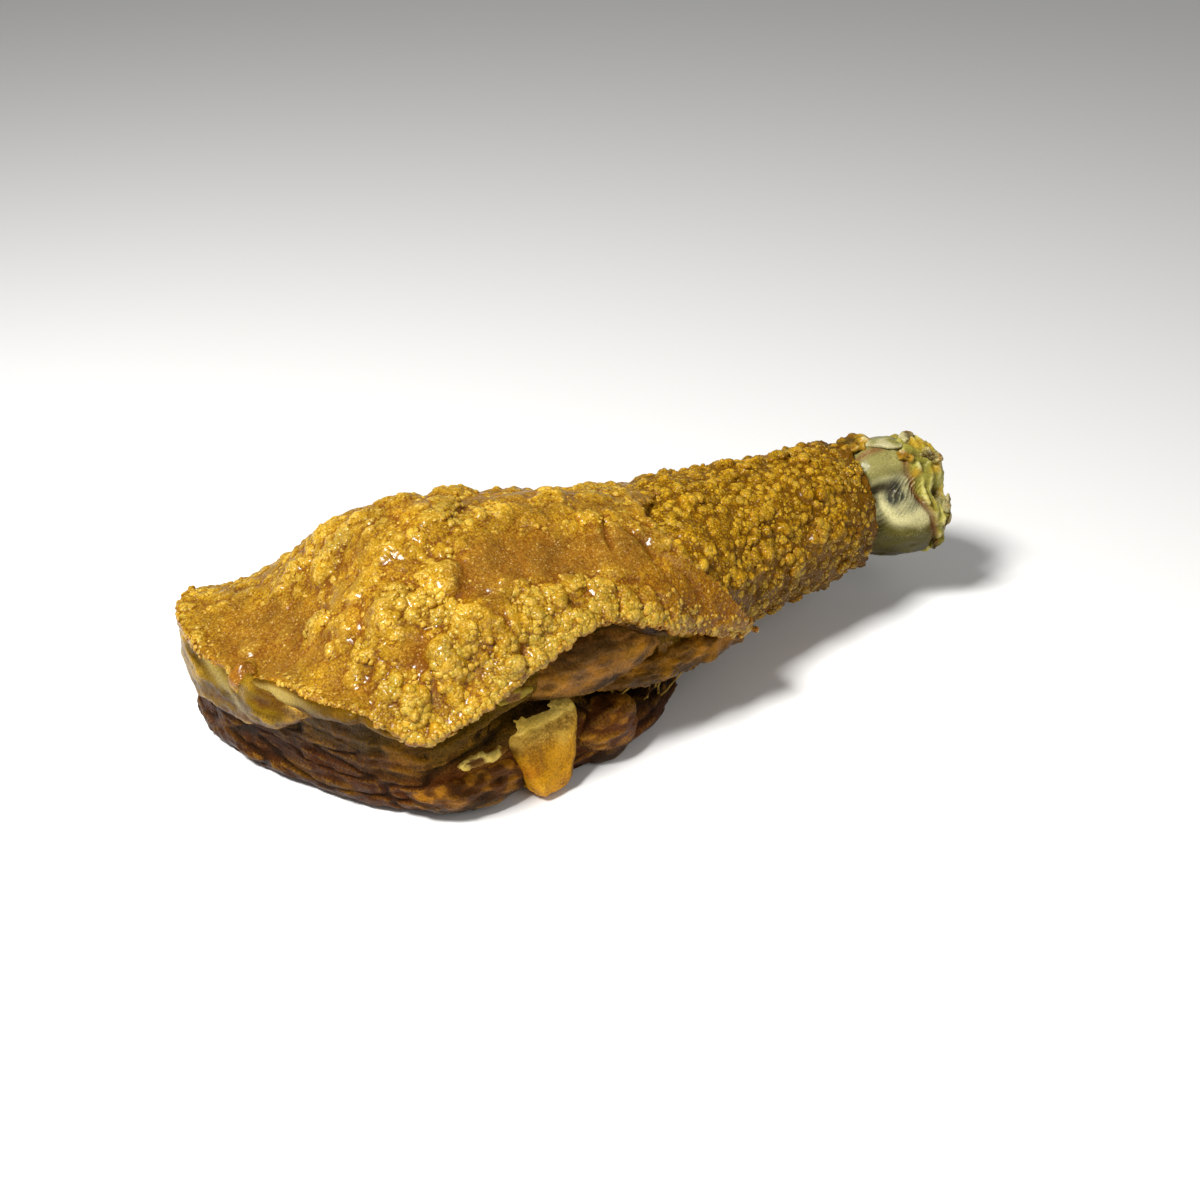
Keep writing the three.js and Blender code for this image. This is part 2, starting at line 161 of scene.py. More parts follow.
# Smaller puffs, in the same way; they come out at a share of these heights
BUBBLE_SHARE = 0.8
BUBBLES = [
    (-113, 20, 6, 3), (-98, 16, 5, 2.2), (-86, -2, 9, 4), (-85, -25, 4, 2.5), (-75, -22, 9, 3),
    (-72, -38, 9, 3), (-61, -46, 10, 3.5), (-58, -28, 11, 3.5), (-62, -12, 9, 3), (-42, -42, 10, 4),
    (-34, -33, 9, 3.5), (-31, -58, 10, 4), (-22, -63, 6, 3), (-47, -63, 9, 4), (-82, -43, 5, 2.5),
    (-72, -49, 5, 2.5), (-66, -57, 6, 3), (-73, -60, 6.5, 3.5), (-65, -70, 7, 3.5),
    (-57, -64, 3.5, 2.5), (-47, -71, 6, 3), (-52, 28, 12, 3), (-49, 2, 13, 3), (-27, 1, 13, 3),
    (-71, 27, 10, 3.5), (3, -5, 10, 2.5), (-12, 14, 9, 2.5), (-20, -69, 8, 3.5), (-10, -62, 6, 3),
    (-1, -58, 7, 3), (10, -56, 6, 2.5), (21, -52, 7, 3), (33, -57, 7, 3), (44, -63, 6, 2.5),
    (56, -62, 6, 2.5), (68, -60, 6, 2), (37, 4, 9, 2.5), (58, 2, 9, 2.5), (75, 12, 8, 2.5),
    (-30, 32, 12, 3), (0, 36, 11, 3), (30, 34, 10, 2.5), (-62, 52, 10, 3), (-84, 44, 7, 2.5),
]
# Where the rind stayed smooth, seen from above: the place, the half sizes along and across, the turn
# to the left, how smooth it is, and how far it is brown there
SMOOTH = [
    (-108, 18, 24, 34, 0, 0.55, 0.4), (8, -34, 36, 13, -8, 0.95, 0.9), (50, -38, 18, 13, -20, 0.7, 0.8),
    (84, -56, 34, 10, -4, 0.5, 0.2), (-22, -34, 12, 9, 30, 0.6, 0.7), (-86, -20, 16, 9, -40, 0.45, 0.3),
    (-58, -54, 9, 6, 0, 0.5, 0.5),
]
DARK_SPOTS = [
    (42, -33, 9, 6, -20, 0.5), (18, -22, 15, 8, 0, 0.45), (-104, -8, 5, 6, 20, 0.6), (-90, 2, 9, 7, 0, 0.35),
]
AT_FLAP = (88, -60, 36, 11, -4)
HOW_MUCH = 5 # the columns of SMOOTH and DARK_SPOTS after the place, the sizes and the turn
HOW_BROWN = 6
# Creases pressed into the rind: from and to, seen from above, with their width and depth
CREASES = [
    ((54, -16), (47, -38), 2.2, 2.2), ((60, -26), (70, -50), 2.5, 1.8), ((68, -22), (92, -48), 2.2, 1.8),
    ((76, -20), (106, -42), 2.2, 1.6), ((64, -38), (88, -58), 2.0, 1.4), ((30, -50), (56, -54), 2.5, 1.6),
    ((-86, -14), (-60, -50), 3, 1.8),
]
GLINT_CELL = 1.2 # the painted glints, pale specks that stand for tiny highlights, lie this far apart
GLINT_PALE = "#c8a468"
GLOSS_TINT = (1, 0.85, 0.55, 1)
GLOW_REACH = (1, 0.6, 0.18)
COAT_ROUGH = 0.17


def through(xs, ys, x):
    """A smooth curve through the knots (xs, ys), read at x: cubics that share a slope at each knot, level at
    peaks."""
    xs = np.asarray(xs, float)
    ys = np.asarray(ys, float)
    x = np.clip(x, xs[0], xs[-1])
    i = np.clip(np.searchsorted(xs, x, side="right") - 1, 0, len(xs) - 2)
    slope = np.diff(ys) / np.diff(xs)
    tangent = np.concatenate([slope[:1], (slope[:-1] + slope[1:]) / 2, slope[-1:]])
    tangent[1:-1][slope[:-1] * slope[1:] <= 0] = 0
    h = xs[i + 1] - xs[i]
    t = (x - xs[i]) / h
    near = (1 + 2 * t) * (1 - t) ** 2 * ys[i] + t * (1 - t) ** 2 * h * tangent[i]
    return near + t * t * (3 - 2 * t) * ys[i + 1] + t * t * (t - 1) * h * tangent[i + 1]


def ease(a, b, x):
    """0 before a, 1 after b, and a smooth step between them."""
    t = np.clip((x - a) / (b - a), 0, 1)
    return t * t * (3 - 2 * t)


def bell(x, at, reach):
    """1 where x is at the middle, falling to 0 on both sides like exp(-d * d), with d in reaches."""
    return np.exp(-(((x - at) / reach) ** 2))


def unit(v):
    """Vectors brought to length 1."""
    return v / np.maximum(np.linalg.norm(v, axis=-1, keepdims=True), 1e-9)


def pairs(rows, cols):
    """Every pair of a value from rows and a value from cols, as two flat arrays, row by row."""
    return [side.ravel() for side in np.meshgrid(rows, cols, indexing="ij")]


def chance(cell, seed):
    """A number from 0 to 1 for each whole-numbered place in space: the far digits of a large sine."""
    s = np.sin(cell @ np.array([127.1, 311.7, 74.7]) + seed * 53.3) * 43758.5453
    return s - np.floor(s)


def drift(p, size, seed):
    """Smooth chance in space, -1 to 1: a random number at each corner of a lattice of this size, eased
    between."""
    q = p / np.asarray(size, float)
    cell = np.floor(q)
    t = ease(0, 1, q - cell)
    total = 0
    for corner in np.ndindex(2, 2, 2):
        total = total + np.prod(np.where(corner, t, 1 - t), axis=-1) * chance(cell + corner, seed)
    return 2 * total - 1


def balls(p, cell, seed):
    """One ball to a cell of space, at a random point in it: for each of the 27 cells about every point,
    the cell's whole-numbered place and the squared distance to its ball's middle."""
    base = np.floor(p / cell)
    for step in np.ndindex(3, 3, 3):
        place = base + step - 1
        middle = (place + np.stack([chance(place, seed + k) for k in range(3)], -1)) * cell
        yield place, ((p - middle) ** 2).sum(-1)


def knobs(p, cell, small, large, seed, thick):
    """Round knobs that swell out of the skin, one ball to a cell: as high at each point as a dish
    turned over, the ball's radius squared less the distance squared, over the radius. Where thick is
    low few cells have one."""
    tall = np.zeros(len(p))
    for place, apart in balls(p, cell, seed):
        there = ease(0, 0.25, thick - chance(place, seed + 4))
        radius = small + (large - small) * chance(place, seed + 3) ** 1.5
        tall = np.maximum(tall, there * np.maximum(radius**2 - apart, 0) / radius)
    return tall


def lumps(p, cell, high, seed, smallest, spread):
    """Low round lumps, one ball to a cell of space: how wide the ball is at each point that lies in it."""
    tall = np.zeros(len(p))
    for place, apart in balls(p, cell, seed):
        radius = cell * (smallest + spread * chance(place, seed + 3))
        tall = np.maximum(tall, np.sqrt(np.maximum(0, radius**2 - apart)) / cell)
    return high * tall


def patch(p, x, y, long, wide, turn):
    """1 in a flat-topped oval patch seen from above, falling to 0 round it."""
    angle = math.radians(turn)
    dx = p[..., 0] - x
    dy = p[..., 1] - y
    a = (dx * math.cos(angle) + dy * math.sin(angle)) / long
    b = (dy * math.cos(angle) - dx * math.sin(angle)) / wide
    return np.exp(-((a * a + b * b) ** 2)) * ease(PUFFS_ABOVE - 10, PUFFS_ABOVE + 10, p[..., 2])


def patches(p, spots, column=HOW_MUCH):
    """The strongest of several patches at each point, each as strong as its value in this column."""
    strongest = 0
    for spot in spots:
        strongest = np.maximum(strongest, spot[column] * patch(p, *spot[:HOW_MUCH]))
    return strongest


def bubbles(p):
    """The tallest of the smaller puffs at each point: domes with steep borders, bent by chance."""
    bent = p[:, :2] + 2 * np.stack([drift(p, 7, 52), drift(p, 7, 53)], -1)
    tall = np.zeros(len(p))
    for x, y, radius, high in BUBBLES:
        away = ((bent - (x, y)) ** 2).sum(-1) / radius**2
        tall = np.maximum(tall, BUBBLE_SHARE * high * np.maximum(1 - away, 0) ** 0.7)
    return tall * (p[:, 2] > PUFFS_ABOVE)


def skin_section(x):
    """Centre and half sizes of the skin's ellipse across the leg at x."""
    lines = (CENTRE_Y, HALF_WIDTH, SKIN_TOP, SKIN_BOTTOM)
    middle, wide, top, bottom = (through(STATION, line, x) for line in lines)
    return middle, (top + bottom) / 2, wide, (top - bottom) / 2


def ham_skin(u, v):
    """The rind's even outer face, u from the butt to the shank and v from the cut edge over the top to
    the back: ellipses whose lower half is fuller, brought down to the butt's edge and drawn out to the
    flank's tip."""
    corner = np.exp(-((u / CORNER_U["reach"]) ** 2) - (v / CORNER_V["reach"]) ** 2)
    u = u + CORNER_U["in"] * corner
    v = v + CORNER_V["in"] * corner
    butt_x = through(BUTT_SHARE, BUTT_X, v)
    x = butt_x + u * (through(LAP_SHARE, LAP_X, v) - butt_x)
    edge = through(EDGE_X, EDGE_DEGREES, x)
    angle = np.radians(edge + v * (BACK_DEGREES - edge))
    lap = through(LAP_SHARE, LAP_LIFT, v) * ease(LAP_FROM, 1, u)
    y, z, wide, high = skin_section(x)
    fullness = LOW_FULLNESS + (2 - LOW_FULLNESS) * ease(*ROUND_FROM_TO, x)
    power = np.where(np.sin(angle) < 0, 2 / fullness, 1)
    y = y + (wide + lap) * np.sign(np.cos(angle)) * np.abs(np.cos(angle)) ** power
    z = z + (high + lap) * np.sign(np.sin(angle)) * np.abs(np.sin(angle)) ** power
    near = 1 - np.minimum((x - butt_x) / BUTT_REACH, 1)
    z = z + (through(RIM_SHARE, RIM_Z, v) - z) * near**BUTT_CURVE
    tip = np.exp(-(((x - FLANK_TIP["x"]) / FLANK_TIP["reach"]) ** 2) - (v / FLANK_TIP["share"]) ** 2)
    return np.stack([x, y - FLANK_TIP["out"] * tip, np.maximum(z, LOWEST)], -1)


def outward(at, u, v, closed=False):
    """The normals of the surface at(u, v), by small steps along it each way. A surface that is closed
    in v has no edge to stop at, and runs the other way round."""
    d = 1e-3
    along = at(np.minimum(u + d, 1), v) - at(np.maximum(u - d, 0), v)
    if closed:
        return unit(np.cross(at(u, v + d) - at(u, v - d), along))
    return -unit(np.cross(at(u, np.minimum(v + d, 1)) - at(u, np.maximum(v - d, 0)), along))


def inward(u, v, share):
    """A place on the sheet, brought by a share of the way to its middle."""
    return 0.5 + (u - 0.5) * (1 - share), 0.5 + (v - 0.5) * (1 - share)


def under_skin(u, v, deep):
    """A point this deep under the rind's even outer face."""
    return ham_skin(u, v) - outward(ham_skin, u, v) * deep


def blistering(p, edge):
    """How thickly the rind has blistered, 0 to 1: by chance, less in the smooth patches, more at the
    cut edge."""
    share = 0.55 + 0.35 * drift(p, 22, 31) + 0.25 * drift(p, 9, 32) + 0.1 * bubbles(p)
    return np.clip(share - patches(p, SMOOTH) + 0.35 * edge, 0, 1)


def creases(p):
    """How deep the pressed creases are: a groove about each line, fading out at its ends."""
    deep = 0
    for start, end, wide, depth in CREASES:
        run = np.subtract(end, start).astype(float)
        away = p[:, :2] - start
        t = away @ run / (run @ run)
        side = (away @ np.array([-run[1], run[0]])) / np.linalg.norm(run) + 1.5 * drift(p, 9, 51)
        deep = deep + depth * ease(-0.15, 0.15, t) * ease(1.15, 0.85, t) * bell(side, 0, wide)
    return deep * (p[:, 2] > PUFFS_ABOVE)


def crackling(p, thick, bold=1.0):
    """Height of the crackling over the even skin: the puffs and lumps, blisters of two sizes, and a
    rough grain."""
    high = lumps(p, **LUMPS) * (0.4 + 0.6 * thick)
    for x, y, radius, tall in PUFFS:
        away = ((p[:, 0] - x) ** 2 + (p[:, 1] - y) ** 2) / radius**2
        high += tall * np.exp(-away * away) * (p[:, 2] > PUFFS_ABOVE)
    high += bubbles(p)
    high += 0.4 * bold * knobs(p, 8.5, 3.0, 6.0, 61, thick)
    high += 0.4 * bold * knobs(p, 4.2, 1.5, 2.8, 71, thick)
    high += 0.5 * drift(p, 7, 81) + (0.2 + 0.15 * thick) * drift(p, 2.2, 82)
    return high - creases(p) - SUNK


def soften(field, reach):
    """Each value of a grid averaged over the square window of this reach about it."""
    padded = np.pad(field, reach, mode="edge")
    total = np.pad(padded.cumsum(0).cumsum(1), ((1, 0), (1, 0)))
    size = 2 * reach + 1
    boxes = total[size:, size:] - total[:-size, size:] - total[size:, :-size] + total[:-size, :-size]
    return boxes / size**2


def standing(high, rows, deep):
    """How far each point of a grid stands out of what is round it, 0 in a hollow to 1 on a tip."""
    high = high.reshape(rows, -1)
    near = (high - soften(high, 3)) / deep
    return np.clip(0.5 + near + 0.5 * (high - soften(high, 9)) / (2 * deep), 0, 1).ravel()


def weave(number, closed=False):
    """The four-sided faces of a grid of point numbers, joined round each row if closed."""
    left = number if closed else number[:, :-1]
    right = np.roll(number, -1, axis=1) if closed else number[:, 1:]
    return np.stack([left[:-1], left[1:], right[1:], right[:-1]], -1).reshape(-1, 4)


def fan(ring, tip):
    """Triangles from a closed ring of point numbers to one point, wound as weave's rows end."""
    return np.stack([np.roll(ring, -1), ring, np.full(len(ring), tip)], -1)


def capped(rows, cols):
    """The faces of closed rings of points, with two more points after them all that close the first
    ring and the last."""
    number = np.arange(rows * cols).reshape(rows, cols)
    return [weave(number, True), fan(number[0], number.size)[:, ::-1], fan(number[-1], number.size + 1)]


def border(rows, cols):
    """The point numbers round the edge of a grid, against the way its faces run."""
    n = np.arange(rows * cols).reshape(rows, cols)
    return np.concatenate([n[0, :-1], n[:-1, -1], n[-1, :0:-1], n[:0:-1, 0]])[::-1]


def paint(code):
    """The linear colour of a six-digit code, with red, green and blue from 00 to ff."""
    s = np.array([int(code[i : i + 2], 16) / 255 for i in (1, 3, 5)])
    return np.where(s <= 0.04045, s / 12.92, ((s + 0.055) / 1.055) ** 2.4)


def tinted(tint, *coats):
    """A colour for each point: a first colour, then coats laid over it in turn, each a colour with its
    share from 0 to 1 at each point. A colour is a code or linear values."""
    tint = paint(tint) if isinstance(tint, str) else tint
    for colour, share in coats:
        colour = paint(colour) if isinstance(colour, str) else colour
        tint = tint + (colour - tint) * share[:, None]
    return tint


def kept_in(points):
    """Points brought softly inside the CAD's box: what comes within SQUEEZE of its sides or top gives
    way."""
    low, high = (np.array(corner) / MM for corner in cad_box)
    over = np.maximum(points - high + SQUEEZE, 0)
    under = np.maximum(low + SQUEEZE - points, 0) * [1, 1, 0]
    back, forth = (past - SQUEEZE * (1 - np.exp(-past / SQUEEZE)) for past in (over, under))
    return points - back + forth


def solid(name, points, faces, made_of, tint, lift, stands_for="roast_leg"):
    """A closed mesh of points in millimetres, turned right side out, with a colour and a lift at each
    point."""
    points = kept_in(points)
    volume = 0
    for group in faces:
        a = points[group[:, 0]]
        for k in range(1, group.shape[1] - 1):
            volume += (a * np.cross(points[group[:, k]], points[group[:, k + 1]])).sum()
    if volume < 0:
        faces = [group[:, ::-1] for group in faces]
    mesh = bpy.data.meshes.new(name)
    mesh.from_pydata((points * MM).tolist(), [], [face for group in faces for face in group.tolist()])
    mesh.polygons.foreach_set("use_smooth", np.ones(len(mesh.polygons), bool))
    shades = np.ones((len(points), 4))
    shades[:, :3] = tint
    colour = mesh.color_attributes.new(name="tint", type="FLOAT_COLOR", domain="POINT")
    colour.data.foreach_set("color", shades.ravel())
    raised = mesh.attributes.new("lift", "FLOAT", "POINT")
    raised.data.foreach_set("value", np.broadcast_to(lift, len(points)).astype(float))
    finish, slot = made_of
    mesh.materials.append(finish)
    piece = placed(name, mesh)
    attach(piece, "root")
    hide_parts(stands_for)


def node(tree, kind, inputs=None, **settings):
    """A shader node with its settings, and with its sockets set to values or joined to other nodes'
    sockets."""
    made = tree.nodes.new(kind)
    for key, value in settings.items():
        setattr(made, key, value)
    for key, value in (inputs or {}).items():
        if isinstance(value, bpy.types.NodeSocket):
            tree.links.new(value, made.inputs[key])
        else:
            made.inputs[key].default_value = value
    return made


def maths(tree, how, *values):
    """What a maths node makes of values or sockets."""
    return node(tree, "ShaderNodeMath", dict(enumerate(values)), operation=how).outputs[0]


def mixed(tree, a, code, share):
    """The colour a blended with a colour code by a share."""
    colours = {0: share, 6: a, 7: (*paint(code), 1)}
    return node(tree, "ShaderNodeMix", colours, data_type="RGBA", blend_type="MIX").outputs[2]


def ranged(tree, value, low, high, to_low=0.0, to_high=1.0):
    """A value brought from the range low to high into another."""
    sizes = {"Value": value, "From Min": low, "From Max": high, "To Min": to_low, "To Max": to_high}
    return node(tree, "ShaderNodeMapRange", sizes).outputs["Result"]


def roasted(
    name, slot, tip, crevice, grain, rough, bump, wet, knobbly=0.0, stain=0.18, fleck=0.15, speckle=1.5,
    coat=0.0, glow=0.0, glints=0.0,
):
    """A roasted surface and its slot: the piece's own tint, darker in crevices and paler on tips by lift and
    a fine grain in millimetres, partly its own colour and partly painted shade and painted highlight; with
    broad stains, fine flecks, pale specks as painted glints, uneven gloss, and a bump of the grain and of
    small round knobs."""
    finish = bpy.data.materials.new(name)
    finish.use_nodes = True
    tree = finish.node_tree
    place = node(tree, "ShaderNodeTexCoord").outputs["Object"]
    tint = node(tree, "ShaderNodeAttribute", attribute_name="tint").outputs["Color"]
    lift = node(tree, "ShaderNodeAttribute", attribute_name="lift").outputs["Fac"]
    fine = {"Vector": place, "Scale": 1 / (grain * MM), "Detail": 3.0, "Roughness": 0.65}
    fine_grain = node(tree, "ShaderNodeTexNoise", fine).outputs["Fac"]
    small = node(tree, "ShaderNodeTexVoronoi", {"Vector": place, "Scale": 0.5 / (grain * MM)})
    small_knobs = ranged(tree, small.outputs["Distance"], 0.0, 0.55, 1.0, 0.0)
    broad = {"Vector": place, "Scale": 1 / (14 * MM), "Detail": 4.0}
    broad_stain = node(tree, "ShaderNodeTexNoise", broad).outputs["Fac"]
    knob = maths(tree, "MULTIPLY_ADD", small_knobs, knobbly, fine_grain)
    even = maths(tree, "SUBTRACT", knob, 0.5 + 0.45 * knobbly)
    level = maths(tree, "MULTIPLY_ADD", even, speckle, lift)
    # Painted shade and highlight: hollows take the crevice colour and tips the tip colour, partly the
    # roast's own colour
    shade = mixed(tree, tint, crevice, ranged(tree, level, 0.45, -0.05))
    shade = mixed(tree, shade, tip, ranged(tree, level, 0.6, 1.2))
    stained = ranged(tree, broad_stain, 0.3, 0.7, 1 - stain, 1 + stain)
    flecked = ranged(tree, fine_grain, 0.35, 0.65, 1 - fleck, 1 + fleck)
    bright = maths(tree, "MULTIPLY", stained, flecked)
    scaled = node(tree, "ShaderNodeVectorMath", {0: shade, 3: bright}, operation="SCALE").outputs[0]
    # Painted glints: pale specks in a few cells of a fine pattern, standing for tiny highlights
    if glints:
        glint_dots = node(tree, "ShaderNodeTexVoronoi", {"Vector": place, "Scale": 1 / (GLINT_CELL * MM)})
        spot = ranged(tree, glint_dots.outputs["Distance"], 0.42, 0.22)
        draw = node(tree, "ShaderNodeSeparateColor", {"Color": glint_dots.outputs["Color"]}).outputs[0]
        few = ranged(tree, draw, 1 - glints, 1, 0, 0.7)
        scaled = mixed(tree, scaled, GLINT_PALE, maths(tree, "MULTIPLY", spot, few))
    bumped = {"Strength": bump, "Distance": grain * MM, "Height": knob}
    skin = tree.nodes["Principled BSDF"]
    tree.links.new(scaled, skin.inputs["Base Color"])
    tree.links.new(ranged(tree, fine_grain, 0.3, 0.7, *rough), skin.inputs["Roughness"])
    tree.links.new(node(tree, "ShaderNodeBump", bumped).outputs["Normal"], skin.inputs["Normal"])
    set_inputs(skin, {
        "Specular IOR Level": wet, "Specular Tint": GLOSS_TINT, "Coat Weight": coat,
        "Coat Roughness": COAT_ROUGH,
        "Subsurface Weight": glow, "Subsurface Radius": GLOW_REACH, "Subsurface Scale": 2 * MM,
    })
    return finish, slot


CARAMEL = paint("#92680e")
GOLD = paint("#a0780e")
SMOOTH_BROWN = paint("#855a12")
ORANGE = paint("#966800")
DARK_BROWN = paint("#6b430a")
RED_BROWN = paint("#3e2403")
FAT_CREAM = paint("#d8b856")
FAT_GOLD = paint("#a06c04")
UNDER_SHADE_BROWN = paint("#2e1a04")
crackling_finish = roasted(
    "crackling", "crackling", tip="#c8a444", crevice="#704000", grain=0.85, rough=(0.25, 0.6), bump=0.75,
    wet=0.12, knobbly=0.4, stain=0.26, fleck=0.18, coat=0.35, glow=0.35, glints=0.3,
)


def crackling_tint(p, normal, thick):
    """Golden where it has blistered, caramel or brown where not, orange by the flap, dark in spots, and
    darker with painted shade where it faces down."""
    return tinted(
        CARAMEL,
        (GOLD, ease(0.1, 0.75, thick)),
        (SMOOTH_BROWN, patches(p, SMOOTH, HOW_BROWN)),
        (ORANGE, 0.9 * patch(p, *AT_FLAP)),
        (DARK_BROWN, patches(p, DARK_SPOTS) * ease(-0.4, 0.5, drift(p, 6, 91))),
        # Painted shade: darker where the skin turns to face down
        (DARK_BROWN, 0.15 * ease(0.6, 0.2, normal[:, 2]) + 0.4 * ease(0.1, -0.6, normal[:, 2])),
    )


HAM_ROWS = 288
HAM_COLS = 262
FINE_COLS = 0.64 # share of the columns that lie on the front and the top
FINE_SHARE = 0.52
EDGE_RINGS = 9
EDGE_OUT = 1.6
UNDER_RINGS = [0.03, 0.1, 0.25, 0.5, 0.8]
KEEP_IN = 0.006 # the sheet stops this share short of the CAD's edge, where its round edge begins


def ham_outer(u, v):
    """Points of the finished crackling at (u, v), with their normals, heights and how thickly they
    blistered."""
    p = ham_skin(u, v)
    normal = outward(ham_skin, u, v)
    thick = blistering(p, bell(v, 0, 0.07))
    high = crackling(p, thick)
    return p + normal * high[:, None], normal, high, thick


cols = np.interp(np.linspace(0, 1, HAM_COLS), [0, FINE_COLS, 1], [0, FINE_SHARE, 1])
ham_u, ham_v = (KEEP_IN + (1 - 2 * KEEP_IN) * side for side in pairs(np.linspace(0, 1, HAM_ROWS), cols))
ham_p, ham_normal, ham_high, ham_thick = ham_outer(ham_u, ham_v)
loop = border(HAM_ROWS, HAM_COLS)
loop_u, loop_v, up, high, thick = (field[loop] for field in (ham_u, ham_v, ham_normal, ham_high, ham_thick))
loop_base = ham_skin(loop_u, loop_v)
loop_out = loop_base - ham_skin(*inward(loop_u, loop_v, 0.02))
loop_out = unit(loop_out - (loop_out * up).sum(-1, keepdims=True) * up)
at_butt = ease(0.12, 0.02, loop_u) * ease(0.04, 0.12, loop_v) * ease(0.75, 0.6, loop_v)
fat_edge = at_butt * ease(0.07, 0.12, loop_v) * ease(0.34, 0.32, loop_v)
cream_patch = bell(loop_v, 0.285, 0.025)
rings = []
facings = []
ring_tints = []
ring_lifts = []
for round_edge in np.arange(1, EDGE_RINGS + 1) / EDGE_RINGS:
    turn = math.pi * round_edge
    ring = loop_base - up * RIND_THICK / 2 * (1 - math.cos(turn))
    facing = unit(up * math.cos(turn) + loop_out * math.sin(turn))
    knobbly = knobs(ring, 4.2, 1.6, 3.0, 71, thick * bell(round_edge, 0, 0.55))
    ring = ring + loop_out * EDGE_OUT * math.sin(turn)
    ring = ring + up * (high * (1 + math.cos(turn)) / 2)[:, None]
    ring = ring + facing * (0.65 * knobbly + 0.4 * drift(ring, (9, 9, 2.5), 83) * math.sin(turn))[:, None]
    rings.append(ring)
    facings.append(facing)
    fatty = fat_edge * ease(0.22, 0.36, round_edge + 0.08 * drift(ring, (14, 14, 4), 84))
    pale = cream_patch * ease(0.3, 0.45, round_edge) * ease(0.85, 0.75, round_edge)
    skin_tint = crackling_tint(ring, facing, thick)
    fat_tint = tinted(FAT_GOLD, (FAT_CREAM, pale))
    ring_tints.append(tinted(skin_tint, (ORANGE, 0.6 * at_butt), (fat_tint, fatty)))
    ring_lifts.append(np.clip(0.45 + 0.25 * knobbly, 0, 1) * (1 - fatty) + 0.5 * fatty)
# The rind's underside is painted near-black brown as painted shade under its overhang, golden with fat at
# the butt
for share in UNDER_RINGS:
    rings.append(under_skin(*inward(loop_u, loop_v, share), RIND_THICK))
    ring_tints.append(tinted(UNDER_SHADE_BROWN, (FAT_GOLD, fat_edge)))
    ring_lifts.append(np.full(len(loop), 0.5))
half = np.array([0.5])
ring_number = len(ham_p) + np.arange(len(rings) * len(loop)).reshape(len(rings), -1)
ring_number = np.concatenate([loop[None], ring_number])
ham_faces = weave(np.arange(len(ham_p)).reshape(HAM_ROWS, HAM_COLS))
ham_lift = standing(ham_high, HAM_ROWS, 2.2) - 0.2 * patch(ham_p, *AT_FLAP)
solid(
    "ham_rind",
    np.concatenate([ham_p, *rings, under_skin(half, half, RIND_THICK)]),
    [ham_faces, weave(ring_number, True), fan(ring_number[-1], ring_number.max() + 1)],
    crackling_finish,
    np.concatenate([crackling_tint(ham_p, ham_normal, ham_thick), *ring_tints, FAT_GOLD[None]]),
    np.concatenate([ham_lift, *ring_lifts, [0.5]]),
)


# The shank's rind: a sleeve of skin round the lower leg, shrunk back from the hock in roasting.
# Its blisters are larger; it goes dark red-brown towards the hock, and painted shade darkens it underneath.
SLEEVE = {"from": 62, "to": 218, "tuck": 12, "tuck_from": 110, "tuck_to": 56}
SLEEVE_ROWS = 210
SLEEVE_COLS = 300
SLEEVE_END_RINGS = 6
SLEEVE_END_RIM = 2.0 # how far the end's rim stands out
SHANK_BROWN = paint("#865e00")
shank_finish = roasted(
    "shank_crackling", "crackling", tip="#cc9e20", crevice="#684200", grain=0.85, rough=(0.25, 0.6),
    bump=0.9, wet=0.08, knobbly=0.5, fleck=0.25, coat=0.15, glow=0.2, glints=0.3,
)


def sleeve_skin(u, v):
    """The sleeve's even outer face: an ellipse round the leg at each x, tucked in where it starts
    inside the ham."""
    x = SLEEVE["from"] + u * (SLEEVE["to"] - SLEEVE["from"])
    y, z, wide, high = skin_section(x)
    tuck = SLEEVE["tuck"] * ease(SLEEVE["tuck_from"], SLEEVE["tuck_to"], x)
    angle = v * 2 * math.pi
    return np.stack([x, y + (wide - tuck) * np.cos(angle), z + (high - tuck) * np.sin(angle)], -1)


def sleeve_thick(p):
    """How thickly the sleeve has blistered: nearly all over, a little less on top by the ham."""
    share = 0.8 + 0.25 * drift(p, 18, 33) + 0.2 * ease(100, 150, p[:, 0])
    return np.clip(share - 0.35 * patch(p, 78, -28, 22, 14, -20), 0, 1)


def sleeve_outer(u, v):
    """Points of the sleeve's crackling at (u, v), with their normals, heights and how thickly they
    blistered."""
    p = sleeve_skin(u, v)
    normal = outward(sleeve_skin, u, v, closed=True)
    thick = sleeve_thick(p)
    high = crackling(p, thick, bold=1.0 + 0.5 * ease(95, 130, p[:, 0]))
    return p + normal * high[:, None], normal, high, thick


def sleeve_tint(p, normal, thick):
    """The crackling's ochre, turning dark red-brown towards the hock, and dark red-brown underneath as
    painted shade.
    """
    return tinted(
        crackling_tint(p, normal, thick),
        (SHANK_BROWN, 0.5 * ease(85, 115, p[:, 0])),
        # Painted shade: dark red-brown where the sleeve faces down
        (RED_BROWN, 0.85 * ease(0.45, -0.3, normal[:, 2] + 0.25 * drift(p, 14, 92))),
        (RED_BROWN, 0.85 * ease(192, 211, p[:, 0] + 5 * drift(p, 8, 93))),
    )


